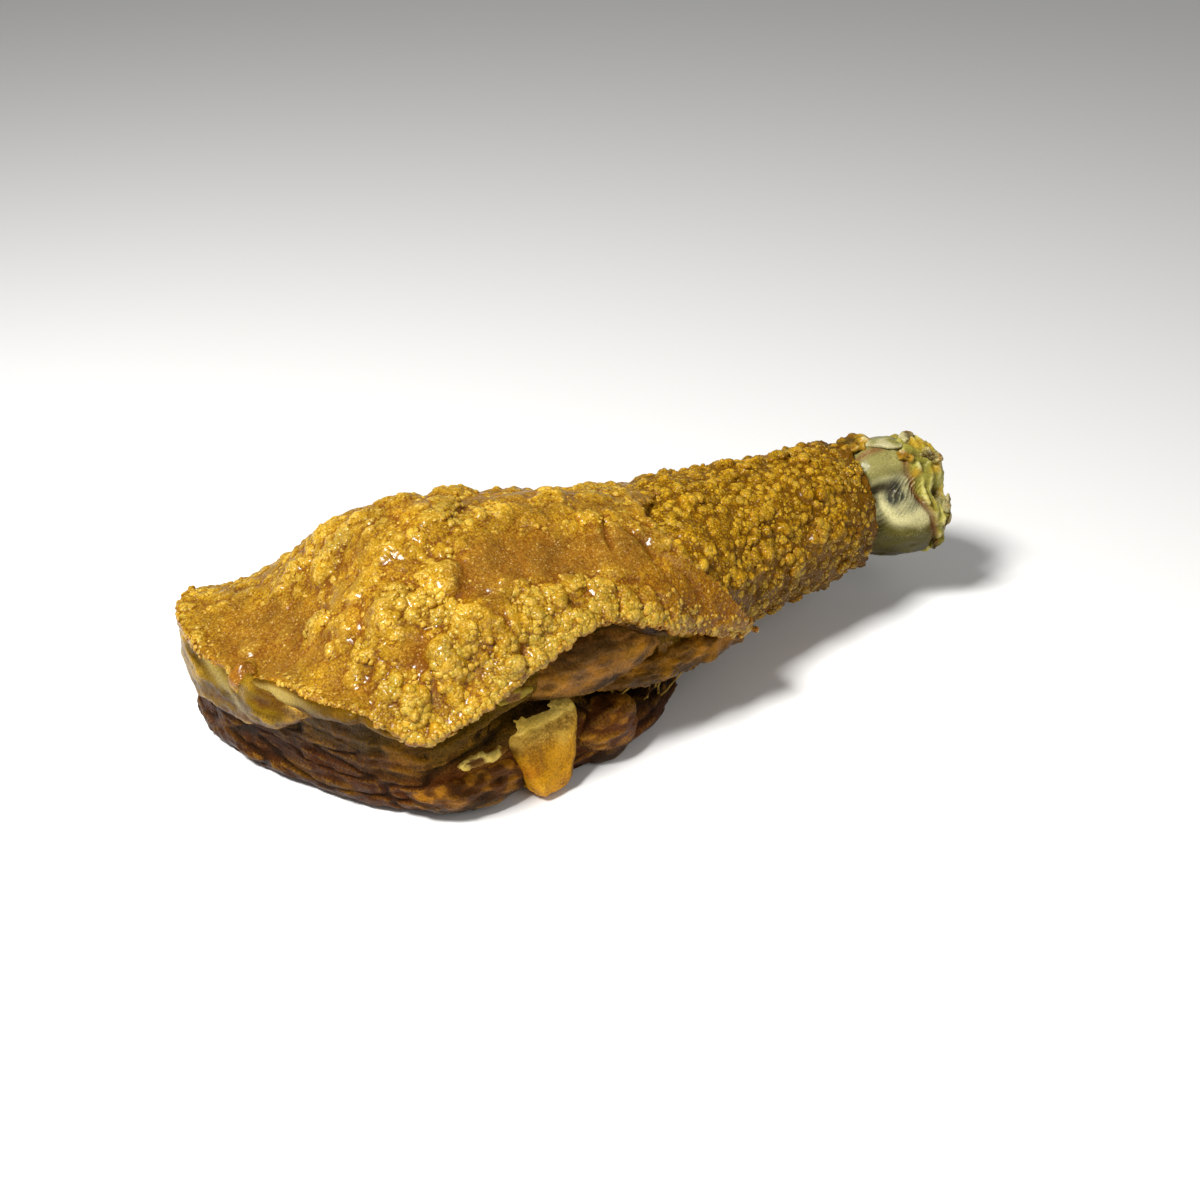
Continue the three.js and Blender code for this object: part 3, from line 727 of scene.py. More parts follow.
u, v = pairs(np.linspace(0, 1, SLEEVE_ROWS), np.linspace(0, 1, SLEEVE_COLS, endpoint=False))
p, normal, high, thick = sleeve_outer(u, v)
end_centre = np.array([SLEEVE["to"], *skin_section(np.array(SLEEVE["to"]))[:2]])
end_rings = []
for share in np.arange(1, SLEEVE_END_RINGS) / SLEEVE_END_RINGS:
    ring = end_centre + (p[-SLEEVE_COLS:] - end_centre) * (1 - share)
    ring[:, 0] += SLEEVE_END_RIM * math.sin(math.pi * min(share * 2, 1)) + 1.2 * drift(ring, 4, 95)
    end_rings.append(ring)
inside = (SLEEVE_END_RINGS - 1) * SLEEVE_COLS + 2
solid(
    "shank_rind",
    np.concatenate([p, *end_rings, [p[:SLEEVE_COLS].mean(0), end_centre]]),
    capped(SLEEVE_ROWS + SLEEVE_END_RINGS - 1, SLEEVE_COLS),
    shank_finish,
    np.concatenate([sleeve_tint(p, normal, thick), np.tile(RED_BROWN, (inside, 1))]),
    np.concatenate([standing(high, SLEEVE_ROWS, 2.0) - 0.16, np.full(inside, 0.4)]),
)


# The small blisters of the crackling: domes of puffed skin from 1 to 5 mm across, crowded in the
# blistered parts and along the cut edge, each grown out of the rind under it.
DOME_ROWS = 5
DOME_SIDES = 10
DOME_REACH = math.radians(118) # how far round the ball a dome goes before it is closed below
DOME_HEIGHT = 0.8 # share of the ball's radius
DOMES_ON_RIM = 1100
RIM_ROWS = 6 # how many of the edge's rings have domes, from the top one down
DOMES_ON_SHANK = 1900
PALE_GOLD = paint("#c09c34")
AMBER = paint("#9a6404")


def domes(name, p, normal, radius, sink, tint, seed, made_of=crackling_finish):
    """One mesh of many domes: rings of a squashed ball round each normal, closed below, dented by chance."""
    rng = np.random.default_rng(seed)
    n = len(p)
    side = unit(np.cross(np.where(np.abs(normal[:, 2:]) < 0.9, [[0.0, 0, 1]], [[1.0, 0, 0]]), normal))
    other = np.cross(normal, side)
    spin = rng.uniform(0, 2 * math.pi, (n, 1))
    side, other = side * np.cos(spin) + other * np.sin(spin), other * np.cos(spin) - side * np.sin(spin)
    steps = DOME_REACH * np.arange(1, DOME_ROWS + 1) / DOME_ROWS
    down, around = pairs(steps, 2 * math.pi * np.arange(DOME_SIDES) / DOME_SIDES)
    down = np.concatenate([[0], down, [math.pi]])
    around = np.concatenate([[0], around, [0]])
    each = len(down)
    stretch = rng.uniform(0.85, 1.25, (n, 1))
    dent = 1 + rng.uniform(-0.05, 0.05, (n, each))
    local = (
        (np.sin(down) * np.cos(around) * stretch)[..., None] * side[:, None]
        + (np.sin(down) * np.sin(around) / stretch)[..., None] * other[:, None]
        + (np.cos(down) * DOME_HEIGHT)[None, :, None] * normal[:, None]
    )
    points = (p - normal * (radius * sink)[:, None])[:, None] + (radius[:, None] * dent)[..., None] * local
    ring = 1 + np.arange(DOME_ROWS * DOME_SIDES).reshape(DOME_ROWS, DOME_SIDES)
    first = np.arange(n)[:, None, None] * each
    one = [weave(ring, True), fan(ring[0], 0)[:, ::-1], fan(ring[-1], each - 1)]
    faces = [(group[None] + first).reshape(-1, group.shape[1]) for group in one]
    # Painted highlight and shade: each dome's lift falls from its top to its foot, so its top is painted
    # paler and its foot darker; its amber sides are partly the blister's own colour and partly painted shade
    lift = np.clip(0.55 * np.cos(down)[None] + 0.4 + rng.uniform(-0.2, 0.2, (n, 1)), 0, 1)
    low = np.tile(ease(math.radians(35), math.radians(85), down), n)
    tint = tinted(np.repeat(tint, each, axis=0), (AMBER, 0.85 * low))
    solid(name, points.reshape(-1, 3), faces, made_of, tint, lift.ravel())


def spread_over(at, rows, cols, u_range, v_range, count, seed, wanted):
    """Random places on the surface at(u, v), as likely as the area there times what wanted says of it."""
    rng = np.random.default_rng(seed)
    s, t = np.meshgrid(np.linspace(*u_range, rows), np.linspace(*v_range, cols), indexing="ij")
    p = at(s, t)
    corner = p[:-1, :-1]
    area = np.linalg.norm(np.cross(p[1:, :-1] - corner, p[:-1, 1:] - corner), axis=-1)
    asked = wanted(corner.reshape(-1, 3), s[:-1, :-1].ravel(), t[:-1, :-1].ravel())
    weight = area * asked.reshape(area.shape)
    pick = rng.choice(area.size, count, p=weight.ravel() / weight.sum())
    i, j = np.unravel_index(pick, area.shape)
    u = u_range[0] + (u_range[1] - u_range[0]) * (i + rng.random(count)) / (rows - 1)
    v = v_range[0] + (v_range[1] - v_range[0]) * (j + rng.random(count)) / (cols - 1)
    return u, v


def ham_wanted(p, u, v):
    """Domes crowd where the rind has blistered, and more along its cut edge."""
    edge = bell(v, 0, 0.05)
    return blistering(p, edge) ** 4 + 0.01 + 0.8 * edge + 0.3 * bell(u, 0, 0.03)


def sleeve_wanted(p, u, v):
    """Domes crowd on the sleeve past where the ham's rind covers it."""
    return sleeve_thick(p) * ease(68, 80, p[:, 0] - 40 * (p[:, 2] < 70)) + 1e-6


# The front and the back of the ham: a name, the range of v, how many domes and the seed
for name, v_range, count, seed in [
    ("ham_blisters_front", (0.004, 0.45), 1500, 201),
    ("ham_blisters_back", (0.45, 0.99), 1100, 211),
]:
    rng = np.random.default_rng(seed + 1)
    u, v = spread_over(ham_skin, 200, 160, (0.01, 0.99), v_range, count, seed, ham_wanted)
    p, normal, high, thick = ham_outer(u, v)
    radius = 0.9 + 3.9 * rng.random(count) ** 2.6 * (0.3 + 0.7 * thick)
    tint = tinted(crackling_tint(p, normal, thick), (PALE_GOLD, rng.random(count) * 0.6))
    domes(name, p, normal, radius, rng.uniform(0.4, 0.75, count) + 0.08 * (radius - 2), tint, seed + 2)

rng = np.random.default_rng(221)
ring = rng.integers(0, RIM_ROWS, DOMES_ON_RIM)
place = rng.integers(0, len(loop), DOMES_ON_RIM)
p = np.array(rings[:RIM_ROWS])[ring, place] + rng.uniform(-0.6, 0.6, (DOMES_ON_RIM, 3))
facing = np.array(facings[:RIM_ROWS])[ring, place]
tint = tinted(np.array(ring_tints[:RIM_ROWS])[ring, place], (PALE_GOLD, rng.random(DOMES_ON_RIM) * 0.5))
radius = 0.8 + 1.5 * rng.random(DOMES_ON_RIM) ** 2
radius[(ring > 3) & (fat_edge[place] > 0.3)] = 0.5
domes("ham_blisters_rim", p, facing, radius, rng.uniform(0.3, 0.7, DOMES_ON_RIM), tint, 222)

rng = np.random.default_rng(231)
u, v = spread_over(sleeve_skin, 160, 160, (0.1, 0.985), (0, 1), DOMES_ON_SHANK, 232, sleeve_wanted)
p, normal, high, thick = sleeve_outer(u, v)
radius = 1.0 + 3.0 * rng.random(DOMES_ON_SHANK) ** 2
tint = tinted(sleeve_tint(p, normal, thick), (PALE_GOLD, rng.random(DOMES_ON_SHANK) * 0.5))
domes("shank_blisters", p, normal, radius, rng.uniform(0.35, 0.75, DOMES_ON_SHANK), tint, 233, shank_finish)


# The meat: the ham's muscles as the knife left them under the rind, roasted brown and glossy with
# juice. The inner side has a deep cleft between the upper and the lower muscles.
ROUND = [0.35, 0.65, 0.85] # the shares of the way round at the butt's two corners and the back's end
FOOT = np.array([
    [0, 92, -22], [0.06, 78, -40], [0.13, 58, -52], [0.21, 20, -62], [0.28, -24, -64], [0.34, -58, -60],
    [0.42, -92, -28], [0.5, -122, 18], [0.57, -133, 54], [0.65, -126, 76], [0.73, -60, 76], [0.8, 20, 60],
    [0.86, 72, 42], [0.93, 98, 14], [1, 92, -22],
])
FOOT_ROUND = 9
OVERHANG = 0.05
MEAT_DEPTH = 6.4
MEAT_CENTRE = np.array([-10, 4, 0])
CLEFT_X = [-60, -20, 15, 60, 100]
CLEFT_HEIGHT = [36, 46, 47, 34, 24]
CLEFT_DEPTH_X = [-75, -45, -22, 15, 45, 80, 112]
CLEFT_DEPTH = [0, 3, 11, 16, 25, 22, 6]
CLEFT_WIDTH_X = [-60, 0, 30, 80]
CLEFT_BELOW = [5, 6, 11, 15]
CLEFT_ABOVE = 5
FRONT_FROM_TO = [15, 35]
LEDGE = {"from": 75, "to": 100, "height": 52, "reach": 8, "out": 2}
CORNER = {"x": -40, "reach": 32, "depth": 9, "from": 0.7, "to": 0.9}
MEAT_SIDE_ROWS = 72
MEAT_COLS = 440
MEAT_UNDER = [0.33, 0.67]
MEAT_HIDDEN = [0.1, 0.3, 0.6]
BROWN_MEAT = paint("#4e2d07")
OLIVE_MEAT = paint("#463006")
DARK_MEAT = paint("#1a0c02")
RED_MEAT = paint("#471e06")
GOLDEN_MEAT = paint("#7c5008")
meat_finish = roasted(
    "roast_meat", "meat", tip="#825814", crevice="#140802", grain=1.1, rough=(0.12, 0.5), bump=0.7, wet=0.05,
    fleck=0.25, speckle=0.9,
)


def foot(w):
    """A point of the meat's outline on the table, w of the way round."""
    x, y = (through(FOOT[:, 0], FOOT[:, k], w) for k in (1, 2))
    return np.stack([x, y, np.zeros_like(x)], -1)


def within_rind(w, share):
    """A point in the rind's thickness, w of the way round its edge and inward of it by a share."""
    u = np.interp(w, [0, *ROUND], [1, 0, 0, 1])
    v = np.interp(w, [*ROUND, 1], [0, 1, 1, 0])
    return under_skin(*inward(u, v, share), MEAT_DEPTH)


def meat_out(w):
    """The level direction straight out of the meat's side."""
    run = foot((w + 0.01) % 1) - foot((w + 0.99) % 1)
    out = unit(np.stack([run[..., 1], -run[..., 0], np.zeros_like(run[..., 0])], -1))
    return out * np.where((out * foot(w)).sum(-1) < 0, -1, 1)[..., None]


def meat_inset(p, up):
    """How far the meat's side is drawn in: round its foot, in the cleft and under the front corner, out
    at the fat."""
    x, y, z = p.T
    round_foot = FOOT_ROUND * (1 - np.sqrt(1 - np.maximum(0, 1 - z / FOOT_ROUND) ** 2))
    gap = z - through(CLEFT_X, CLEFT_HEIGHT, x)
    width = np.where(gap > 0, CLEFT_ABOVE, through(CLEFT_WIDTH_X, CLEFT_BELOW, x))
    cleft = through(CLEFT_DEPTH_X, CLEFT_DEPTH, x) * bell(gap, 0, width)
    corner = CORNER["depth"] * ease(CORNER["from"], CORNER["to"], up) * bell(x, CORNER["x"], CORNER["reach"])
    ledge = LEDGE["out"] * ease(LEDGE["from"], LEDGE["to"], -x) * bell(z, LEDGE["height"], LEDGE["reach"])
    front = ease(*FRONT_FROM_TO, -y)
    return round_foot - ledge + front * (cleft + corner), front * cleft


def meat_side(w, up):
    """A point of the meat's side: from the foot straight to the rind, drawn in or out; and the cleft's
    depth there."""
    p = foot(w)
    p = p + (within_rind(w, OVERHANG) - p) * up[:, None]
    inset, cleft = meat_inset(p, up)
    return p - meat_out(w) * inset[:, None], cleft


def fibres(p, seed):
    """Ridges of muscle along the leg: chance drawn out lengthways, at three sizes."""
    coarse = drift(p, (30, 30, 7), seed) + 0.6 * drift(p, (15, 15, 3.2), seed + 1)
    return coarse + 0.35 * drift(p, (9, 9, 1.6), seed + 2)


def folds(p, seed):
    """1 in the grooves between the bands of the grain, in the lower part of the meat, where painted shade
    goes.
    """
    return ease(0.12, 0.0, np.abs(drift(p, (34, 34, 8), seed))) * ease(60, 40, p[:, 2])


def meat_tint(p):
    """Brown and olive in bands along the grain, red-brown below, golden where the fat ran down, and nearly
    black with painted shade in the folds between the bands."""
    return tinted(
        OLIVE_MEAT,
        (BROWN_MEAT, ease(-0.3, 0.5, drift(p, (25, 25, 9), 311))),
        (RED_MEAT, 0.8 * ease(40, 24, p[:, 2] + 8 * drift(p, 20, 312))),
        (GOLDEN_MEAT, 0.6 * ease(0.3, 0.75, drift(p, (13, 13, 5), 313))),
        # Painted shade in the fold grooves
        (DARK_MEAT, 0.8 * folds(p, 314)),
    )


w = np.interp(np.linspace(0, 1, MEAT_COLS, endpoint=False), [0, 0.74, 1], [0, 0.6, 1])
up, around = pairs(np.linspace(0, 1, MEAT_SIDE_ROWS), w)
p, cleft = meat_side(around, up)
rough = 1.3 * fibres(p, 301) - 1.2 * folds(p, 314) + 0.6 * drift(p, 3.5, 303)
rough = rough * ease(0, 0.06, up) * ease(1, 0.92, up)
p = p + meat_out(around) * rough[:, None]
p[:, 2] = np.maximum(p[:, 2], 0)
x, y, z = p.T
under = [MEAT_CENTRE + (p[:MEAT_COLS] - MEAT_CENTRE) * share for share in MEAT_UNDER]
hidden = [within_rind(w, OVERHANG + (1 - OVERHANG) * share) for share in MEAT_HIDDEN]
at_front = ease(-70, -50, x)
tint = tinted(
    meat_tint(p),
    # Painted shade: nearly black as deep as the cleft goes
    (DARK_MEAT, np.clip(cleft / 8, 0, 0.97)),
    (DARK_MEAT, 0.45 * ease(-60, -95, x) * ease(50, 35, z)),
    # Painted shade along the meat's top, under the rind's overhang, less at the front
    (DARK_MEAT, (0.85 - 0.75 * at_front) * ease(0.74, 0.94, up)),
    ("#5c4206", 0.65 * at_front * ease(0.5, 0.7, up) * ease(-0.5, 0.2, drift(p, 7, 312))),
)
before = len(under) * MEAT_COLS
after = len(hidden) * MEAT_COLS + 2
solid(
    "meat",
    np.concatenate([*under, p, *hidden, MEAT_CENTRE[None], within_rind(np.array([0.0]), 1)]),
    capped(len(under) + MEAT_SIDE_ROWS + len(hidden), MEAT_COLS),
    meat_finish,
    np.concatenate([np.tile(DARK_MEAT, (before, 1)), tint, np.tile(BROWN_MEAT, (after, 1))]),
    np.concatenate([np.full(before, 0.4), standing(rough, MEAT_SIDE_ROWS, 3.0), np.full(after, 0.4)]),
)


# The muscles that stand out of the meat on the inner side: a smooth one under the rind's arch, the
# rolled flank below the tip, and two round ones at the table, each a swollen bundle of fibres.
BRIGHT_MEAT = GOLDEN_MEAT * 2
# The name, place, half sizes and turn of each, how uneven, ridged and crinkled it is, its own colour
# and how much that counts, the height below which painted shade darkens it, and the seed
MUSCLES = [
    ("arch_muscle", [24, -51, 61], [42, 17, 18], 4, 2.0, 0.9, 1.0, "#946428", 0.8, 53, 401),
    ("flank_roll", [72, -50, 47], [48, 11, 9], 8, 2.2, 1.2, 1.9, "#94621a", 0.75, 45, 411),
    ("round_muscle", [34, -53, 17], [20, 12, 16], 12, 2.5, 1.6, 0.6, "#52280a", 0.7, 10, 421),
    ("low_muscle", [-34, -56, 16], [34, 17, 15], 4, 2.0, 1.6, 0.8, "#5c360a", 0.5, 12, 431),
]
ABOVE_TABLE = 0.3
muscle_finish = roasted(
    "muscle", "meat", tip="#a8741c", crevice="#1c0c03", grain=1.2, rough=(0.12, 0.45), bump=0.6, wet=0.1,
    fleck=0.2, speckle=0.35, glow=0.1,
)


def lobe(at, half, turn, squareness=2, narrow=0, lean=0, rows=60, cols=90):
    """A rounded lobe: a ball, or a softened box when squareness is over 2, which below can narrow and
    lean out; with the normals of the ball."""
    up, around = pairs(math.pi * (np.arange(rows) + 1) / (rows + 1), 2 * math.pi * np.arange(cols) / cols)
    up = np.concatenate([up, [0, math.pi]])
    around = np.concatenate([around, [0, 0]])
    waves = [np.sin(up), np.cos(around), np.sin(around), np.cos(up)]
    aside, ahead, across, high = (np.sign(wave) * np.abs(wave) ** (2 / squareness) for wave in waves)
    x, y, z = aside * ahead, aside * across, -high
    below = (1 - z) / 2
    local = np.stack([x * half[0] * (1 - narrow * below), y * half[1] - lean * below, z * half[2]], -1)
    facing = unit(np.stack([x / half[0], y / half[1], z / half[2]], -1))
    angle = math.radians(turn)
    cos, sin = math.cos(angle), math.sin(angle)
    spun = np.array([[cos, sin, 0], [-sin, cos, 0], [0, 0, 1]])
    return local @ spun + np.array(at, float), facing @ spun, capped(rows, cols)


for name, at, half, turn, uneven, ridged, crinkled, own, counts, shaded_below, seed in MUSCLES:
    p, facing, faces = lobe(at, half, turn, rows=120, cols=190)
    crinkle = drift(p, (7, 7, 4), seed + 8) + 0.5 * drift(p, (3, 3, 2), seed + 9)
    rough = ridged * fibres(p, seed) + crinkled * crinkle
    p = p + facing * (rough + uneven * drift(p, (24, 16, 12), seed + 7))[:, None]
    p[:, 2] = np.maximum(p[:, 2], ABOVE_TABLE)
    mottle = drift(p, (7, 7, 3.5), seed + 10) + 0.5 * drift(p, (3, 3, 2), seed + 11)
    tint = tinted(
        meat_tint(p),
        (own, counts * (1 - 0.5 * ease(-0.2, 0.5, drift(p, (16, 16, 6), seed + 5)))),
        (BRIGHT_MEAT, 0.5 * ease(0.15, 0.65, mottle)),
        (DARK_MEAT, 0.55 * ease(-0.05, -0.65, mottle)),
        # Painted shade over the lobe's lower part
        (DARK_MEAT, 0.85 * ease(shaded_below + 5, shaded_below - 5, p[:, 2] + 3 * drift(p, 12, seed + 4))),
    )
    solid(name, p, faces, muscle_finish, tint, 0.5 + 0.4 * rough / (ridged + crinkled))


# The flank's upper fold: thin pale muscle that runs along under the rind's edge out to the tip.
# It is a tube along the rim, swollen in the middle and rough with fibres.
FOLD_FROM_TO = [0.58, 0.84]
FOLD_BELOW = 10
FOLD_IN = 0.005
FOLD_SIZES = [5, 6]


def tube(centre, sizes, sides=24):
    """A tube along a path: at each of its points an ellipse across the way it runs, with these half
    sizes level and upright; with the directions out of it."""
    run = unit(np.gradient(centre, axis=0))
    level = unit(np.cross(run, [0, 0, 1.0]))
    turn = (2 * math.pi * np.arange(sides) / sides)[None, :, None]
    aside = np.cos(turn) * level[:, None]
    upward = np.sin(turn) * np.cross(level, run)[:, None]
    points = centre[:, None] + aside * sizes[:, None, :1] + upward * sizes[:, None, 1:]
    facing = np.concatenate([unit(aside + upward).reshape(-1, 3), -run[:1], run[-1:]])
    points = np.concatenate([points.reshape(-1, 3), centre[:1], centre[-1:]])
    return points, facing, capped(len(centre), sides)


along = np.linspace(0, 1, 160)
share = FOLD_FROM_TO[0] + (FOLD_FROM_TO[1] - FOLD_FROM_TO[0]) * along
path = under_skin(share, 0 * along + FOLD_IN, FOLD_BELOW)
sizes = np.array(FOLD_SIZES) * (0.08 + 0.92 * np.sin(math.pi * along) ** 0.6)[:, None]
p, facing, faces = tube(path, sizes, sides=48)
rough = fibres(p, 441) + drift(p, 9, 447)
tint = tinted("#785a16", ("#5a3608", ease(-0.3, 0.4, drift(p, (12, 12, 5), 445))))
solid("flank_fold", p + facing * rough[:, None], faces, muscle_finish, tint, 0.5 + 0.4 * rough)


# Sinews: threads of tissue left hanging across the cleft between the upper and the lower muscles.
# From and to, the thickness, and how far each sags along the leg.
SINEWS = [
    ((38, -52, 40), (44, -38, 12), 0.9, 3), ((50, -56, 41), (47, -40, 10), 0.7, -4),
    ((56, -54, 41), (64, -36, 9), 1.1, 4), ((64, -56, 40), (60, -36, 8), 0.6, 2),
    ((70, -52, 40), (78, -32, 8), 1.0, -3), ((80, -52, 39), (74, -33, 8), 0.7, 3),
]
along = np.linspace(0, 1, 30)
threads = []
for start, end, thick, sag in SINEWS:
    path = np.outer(1 - along, start) + np.outer(along, end)
    path[:, 0] += sag * np.sin(math.pi * along)
    path += 0.8 * np.stack([drift(path, 5, seed) for seed in (451, 452, 453)], -1)
    width = thick * (0.6 + 0.8 * np.abs(along - 0.5))
    threads.append(tube(path, np.stack([width, width], -1), sides=8))
p = np.concatenate([points for points, facing, faces in threads])
each = len(threads[0][0])
groups = zip(*(faces for points, facing, faces in threads))
faces = [np.concatenate([made + k * each for k, made in enumerate(group)]) for group in groups]
tint = tinted("#9a7c34", ("#4a2c0c", ease(-0.4, 0.4, drift(p, 8, 455))))
solid("sinews", p, faces, muscle_finish, tint, 0.5)


# The fat layer: soft golden fat between the rind and the meat at the butt, swollen out under the
# rind's rim, with a tan skin at the near end and a cream line through it.
FAT_SHARE = [0.418, 0.43, 0.446, 0.47, 0.51, 0.55, 0.6, 0.63]
FAT_HEIGHT = [57, 55, 51.5, 45.5, 44, 45, 48, 52]
FAT_HALF = [2, 7, 10.5, 13.5, 14, 13, 9, 1]
FAT_OUT = 2.5
FAT_SWELL = {"share": 0.446, "reach": 0.014, "out": 2.5}
FAT_THICK = 5.5
FAT_FULL = 5 # where it is half as high as this it is as thick as can be
fat_finish = roasted(
    "fat", "fat", tip="#9a7618", crevice="#4e2e06", grain=1.0, rough=(0.15, 0.5), bump=0.5, wet=0.08,
    speckle=0.7, coat=0.08, glow=0.2,
)


def wall(w, z):
    """The point of the meat's side at height z, w of the way round."""
    return meat_side(w, np.clip(z / within_rind(w, OVERHANG)[:, 2], 0, 1))[0]


w = np.linspace(FAT_SHARE[0], FAT_SHARE[-1], 260)
swell = FAT_OUT + FAT_SWELL["out"] * bell(w, FAT_SWELL["share"], FAT_SWELL["reach"])
path = wall(w, through(FAT_SHARE, FAT_HEIGHT, w)) + meat_out(w) * swell[:, None]
half = through(FAT_SHARE, FAT_HALF, w)
p, facing, faces = tube(path, np.stack([FAT_THICK * np.minimum(half / FAT_FULL, 1), half], -1), sides=64)
x, y, z = p.T
wavy = 1.8 * drift(p, (20, 20, 7), 461) + 1.2 * drift(p, (8, 8, 3), 462) + 0.4 * drift(p, 2.2, 466)
cream_line = bell(z - 51 - 0.35 * (y - 10) + 2 * drift(p, 9, 467), 0, 3.5)
tan = ease(-114, -106, x) * ease(36, 44, z)
tint = tinted(
    "#644a02",
    ("#483202", ease(-0.35, 0.4, drift(p, (18, 18, 5), 463))),
    ("#7c601c", 0.7 * ease(0.2, 0.5, drift(p, (22, 22, 5), 464))),
    ("#8a783c", 0.8 * cream_line * ease(-8, 2, y) * ease(40, 30, y)),
    (BROWN_MEAT, 0.8 * (1 - tan) * ease(0.15, 0.0, np.abs(drift(p, (50, 50, 7), 465)))),
    ("#c69840", 0.85 * tan),
    # Painted shade: brown where the fat faces down
    (BROWN_MEAT, ease(-0.4, -0.9, facing[:, 2])),
)
solid("fat_layer", p + facing * wavy[:, None], faces, fat_finish, tint, 0.5 + 0.3 * wavy)


# The rind's own fat: a smooth band in the cut face of the rim, thick and pale by the drop of rind.
# It is a flattened tube just under the rim's crust.
RIND_FAT_SHARE = [0.06, 0.09, 0.14, 0.2, 0.24, 0.27, 0.3, 0.33, 0.36]
RIND_FAT_HALF = [0.5, 2.2, 3.2, 3.4, 4.2, 5.2, 5.2, 3.4, 0.6]
RIND_FAT_FROM = 3.2
RIND_FAT_OUT = 0.4
RIND_FAT_THICK = 3
RIND_FAT_PALE = {"x": -112, "reach": 7}
v = np.linspace(RIND_FAT_SHARE[0], RIND_FAT_SHARE[-1], 240)
rim = ham_skin(0 * v, v)
out = unit(rim - ham_skin(0 * v + 0.02, v))
half = through(RIND_FAT_SHARE, RIND_FAT_HALF, v)
path = rim + out * RIND_FAT_OUT - outward(ham_skin, 0 * v, v) * (RIND_FAT_FROM + half)[:, None]
thick = RIND_FAT_THICK * np.minimum(half / RIND_FAT_THICK, 1)
p, facing, faces = tube(path, np.stack([thick, half], -1), sides=48)
rough = 0.7 * drift(p, (9, 9, 3), 491) + 0.25 * drift(p, 2.5, 492)
pale = bell(p[:, 0], RIND_FAT_PALE["x"], RIND_FAT_PALE["reach"])
tint = tinted(
    "#5e4002",
    ("#483002", ease(-0.3, 0.5, drift(p, (12, 12, 4), 493))),
    ("#a08a48", 0.85 * pale * ease(-0.5, 0.1, facing[:, 2]) * ease(0.95, 0.6, facing[:, 2])),
)
solid("rind_fat", p + facing * rough[:, None], faces, fat_finish, tint, 0.5 + 0.2 * rough)


# Two pale bits of fat on the cut side, one beside the bone and one high up under the rim, and a drop
# of rind that hangs over the fat at the butt with small knobs on it.
FAT_BITS = [
    ("fat_by_bone", [-34, -68, 32], [13, 3, 3.6], 6, "#d8bc5c"),
    ("fat_streak", [-18, -66.5, 60], [11, 2, 3], 8, "#8e781c"),
]
DROP = {"at": [-119, 6, 56.5], "half": [7.5, 6.5, 8.5], "turn": 20}
SINGED = "#6a4410"
for name, at, half, turn, pale in FAT_BITS:
    p, facing, faces = lobe(at, half, turn, rows=50, cols=80)
    rough = 1.3 * drift(p, (6, 6, 3), 471) + 0.6 * drift(p, 2, 472)
    tint = tinted(pale, (SINGED, ease(-0.2, 0.4, drift(p, 4, 473))))
    solid(name, p + facing * rough[:, None], faces, fat_finish, tint, 0.5 + 0.4 * rough)

p, facing, faces = lobe(**DROP, rows=60, cols=80)
rough = 0.8 * drift(p, 5, 481) + 0.5 * knobs(p, 4.2, 1.6, 3.0, 482, np.full(len(p), 0.9))
tint = tinted("#8e5a08", ("#a87c18", ease(-0.4, 0.6, drift(p, 6, 483))))
solid("rind_drop", p + facing * rough[:, None], faces, crackling_finish, tint, 0.5 + 0.2 * rough)


# The aitch bone: the sawn end of the hip bone at the cut side, a wedge that narrows downwards,
# golden and grainy where it was scraped, with a pale edge on top, its own but painted brighter against the
# rind's shade, and painted shade down the side in the crevice by the round muscle.
AITCH = {"at": [-5, -45, 21.5], "half": [24, 22, 21], "turn": 12, "squareness": 5, "narrow": 0.6, "lean": 9}
PALE_EDGE = 38.6
BONE_STAIN = {"x": -20, "reach": 5, "height": 30, "up_reach": 4}
bone_finish = roasted(
    "roast_bone", "bone", tip="#e6bc40", crevice="#6a3c08", grain=1.0, rough=(0.12, 0.5), bump=0.7, wet=0.08,
    knobbly=0.35, fleck=0.2, speckle=0.6,
)
p, facing, faces = lobe(**AITCH, rows=150, cols=240)
rough = 0.7 * drift(p, 6, 501) + 0.35 * drift(p, 2.2, 502)
p = p + facing * rough[:, None]
p[:, 2] = np.maximum(p[:, 2], ABOVE_TABLE)
x, y, z = p.T
stain = bell(x, BONE_STAIN["x"], BONE_STAIN["reach"]) * bell(z, BONE_STAIN["height"], BONE_STAIN["up_reach"])
tint = tinted(
    "#c08610",
    ("#a2620a", ease(-0.2, 0.6, drift(p, 9, 503))),
    ("#c8a548", 0.7 * ease(22, 36, z + 4 * drift(p, 7, 504))),
    # The pale top edge: its own colour, with painted light brightening it against the shade of the rind
    # above
    ("#ffd96a", ease(PALE_EDGE - 0.8, PALE_EDGE + 0.2, z + 1.5 * drift(p, 5, 505))),
    ("#c98a1a", 0.6 * ease(14, 5, z)),
    # Painted shade down the bone's side in the crevice by the round muscle
    (DARK_MEAT, 0.85 * ease(3, 9, x - 0.33 * z + 2.5 * drift(p, 6, 506))),
    (DARK_MEAT, 0.8 * stain),
)
lift = 0.5 + 0.4 * rough + 0.3 * ease(PALE_EDGE - 1.5, PALE_EDGE, z)
solid("bone_end", p, faces, bone_finish, tint, lift, "aitch_bone")


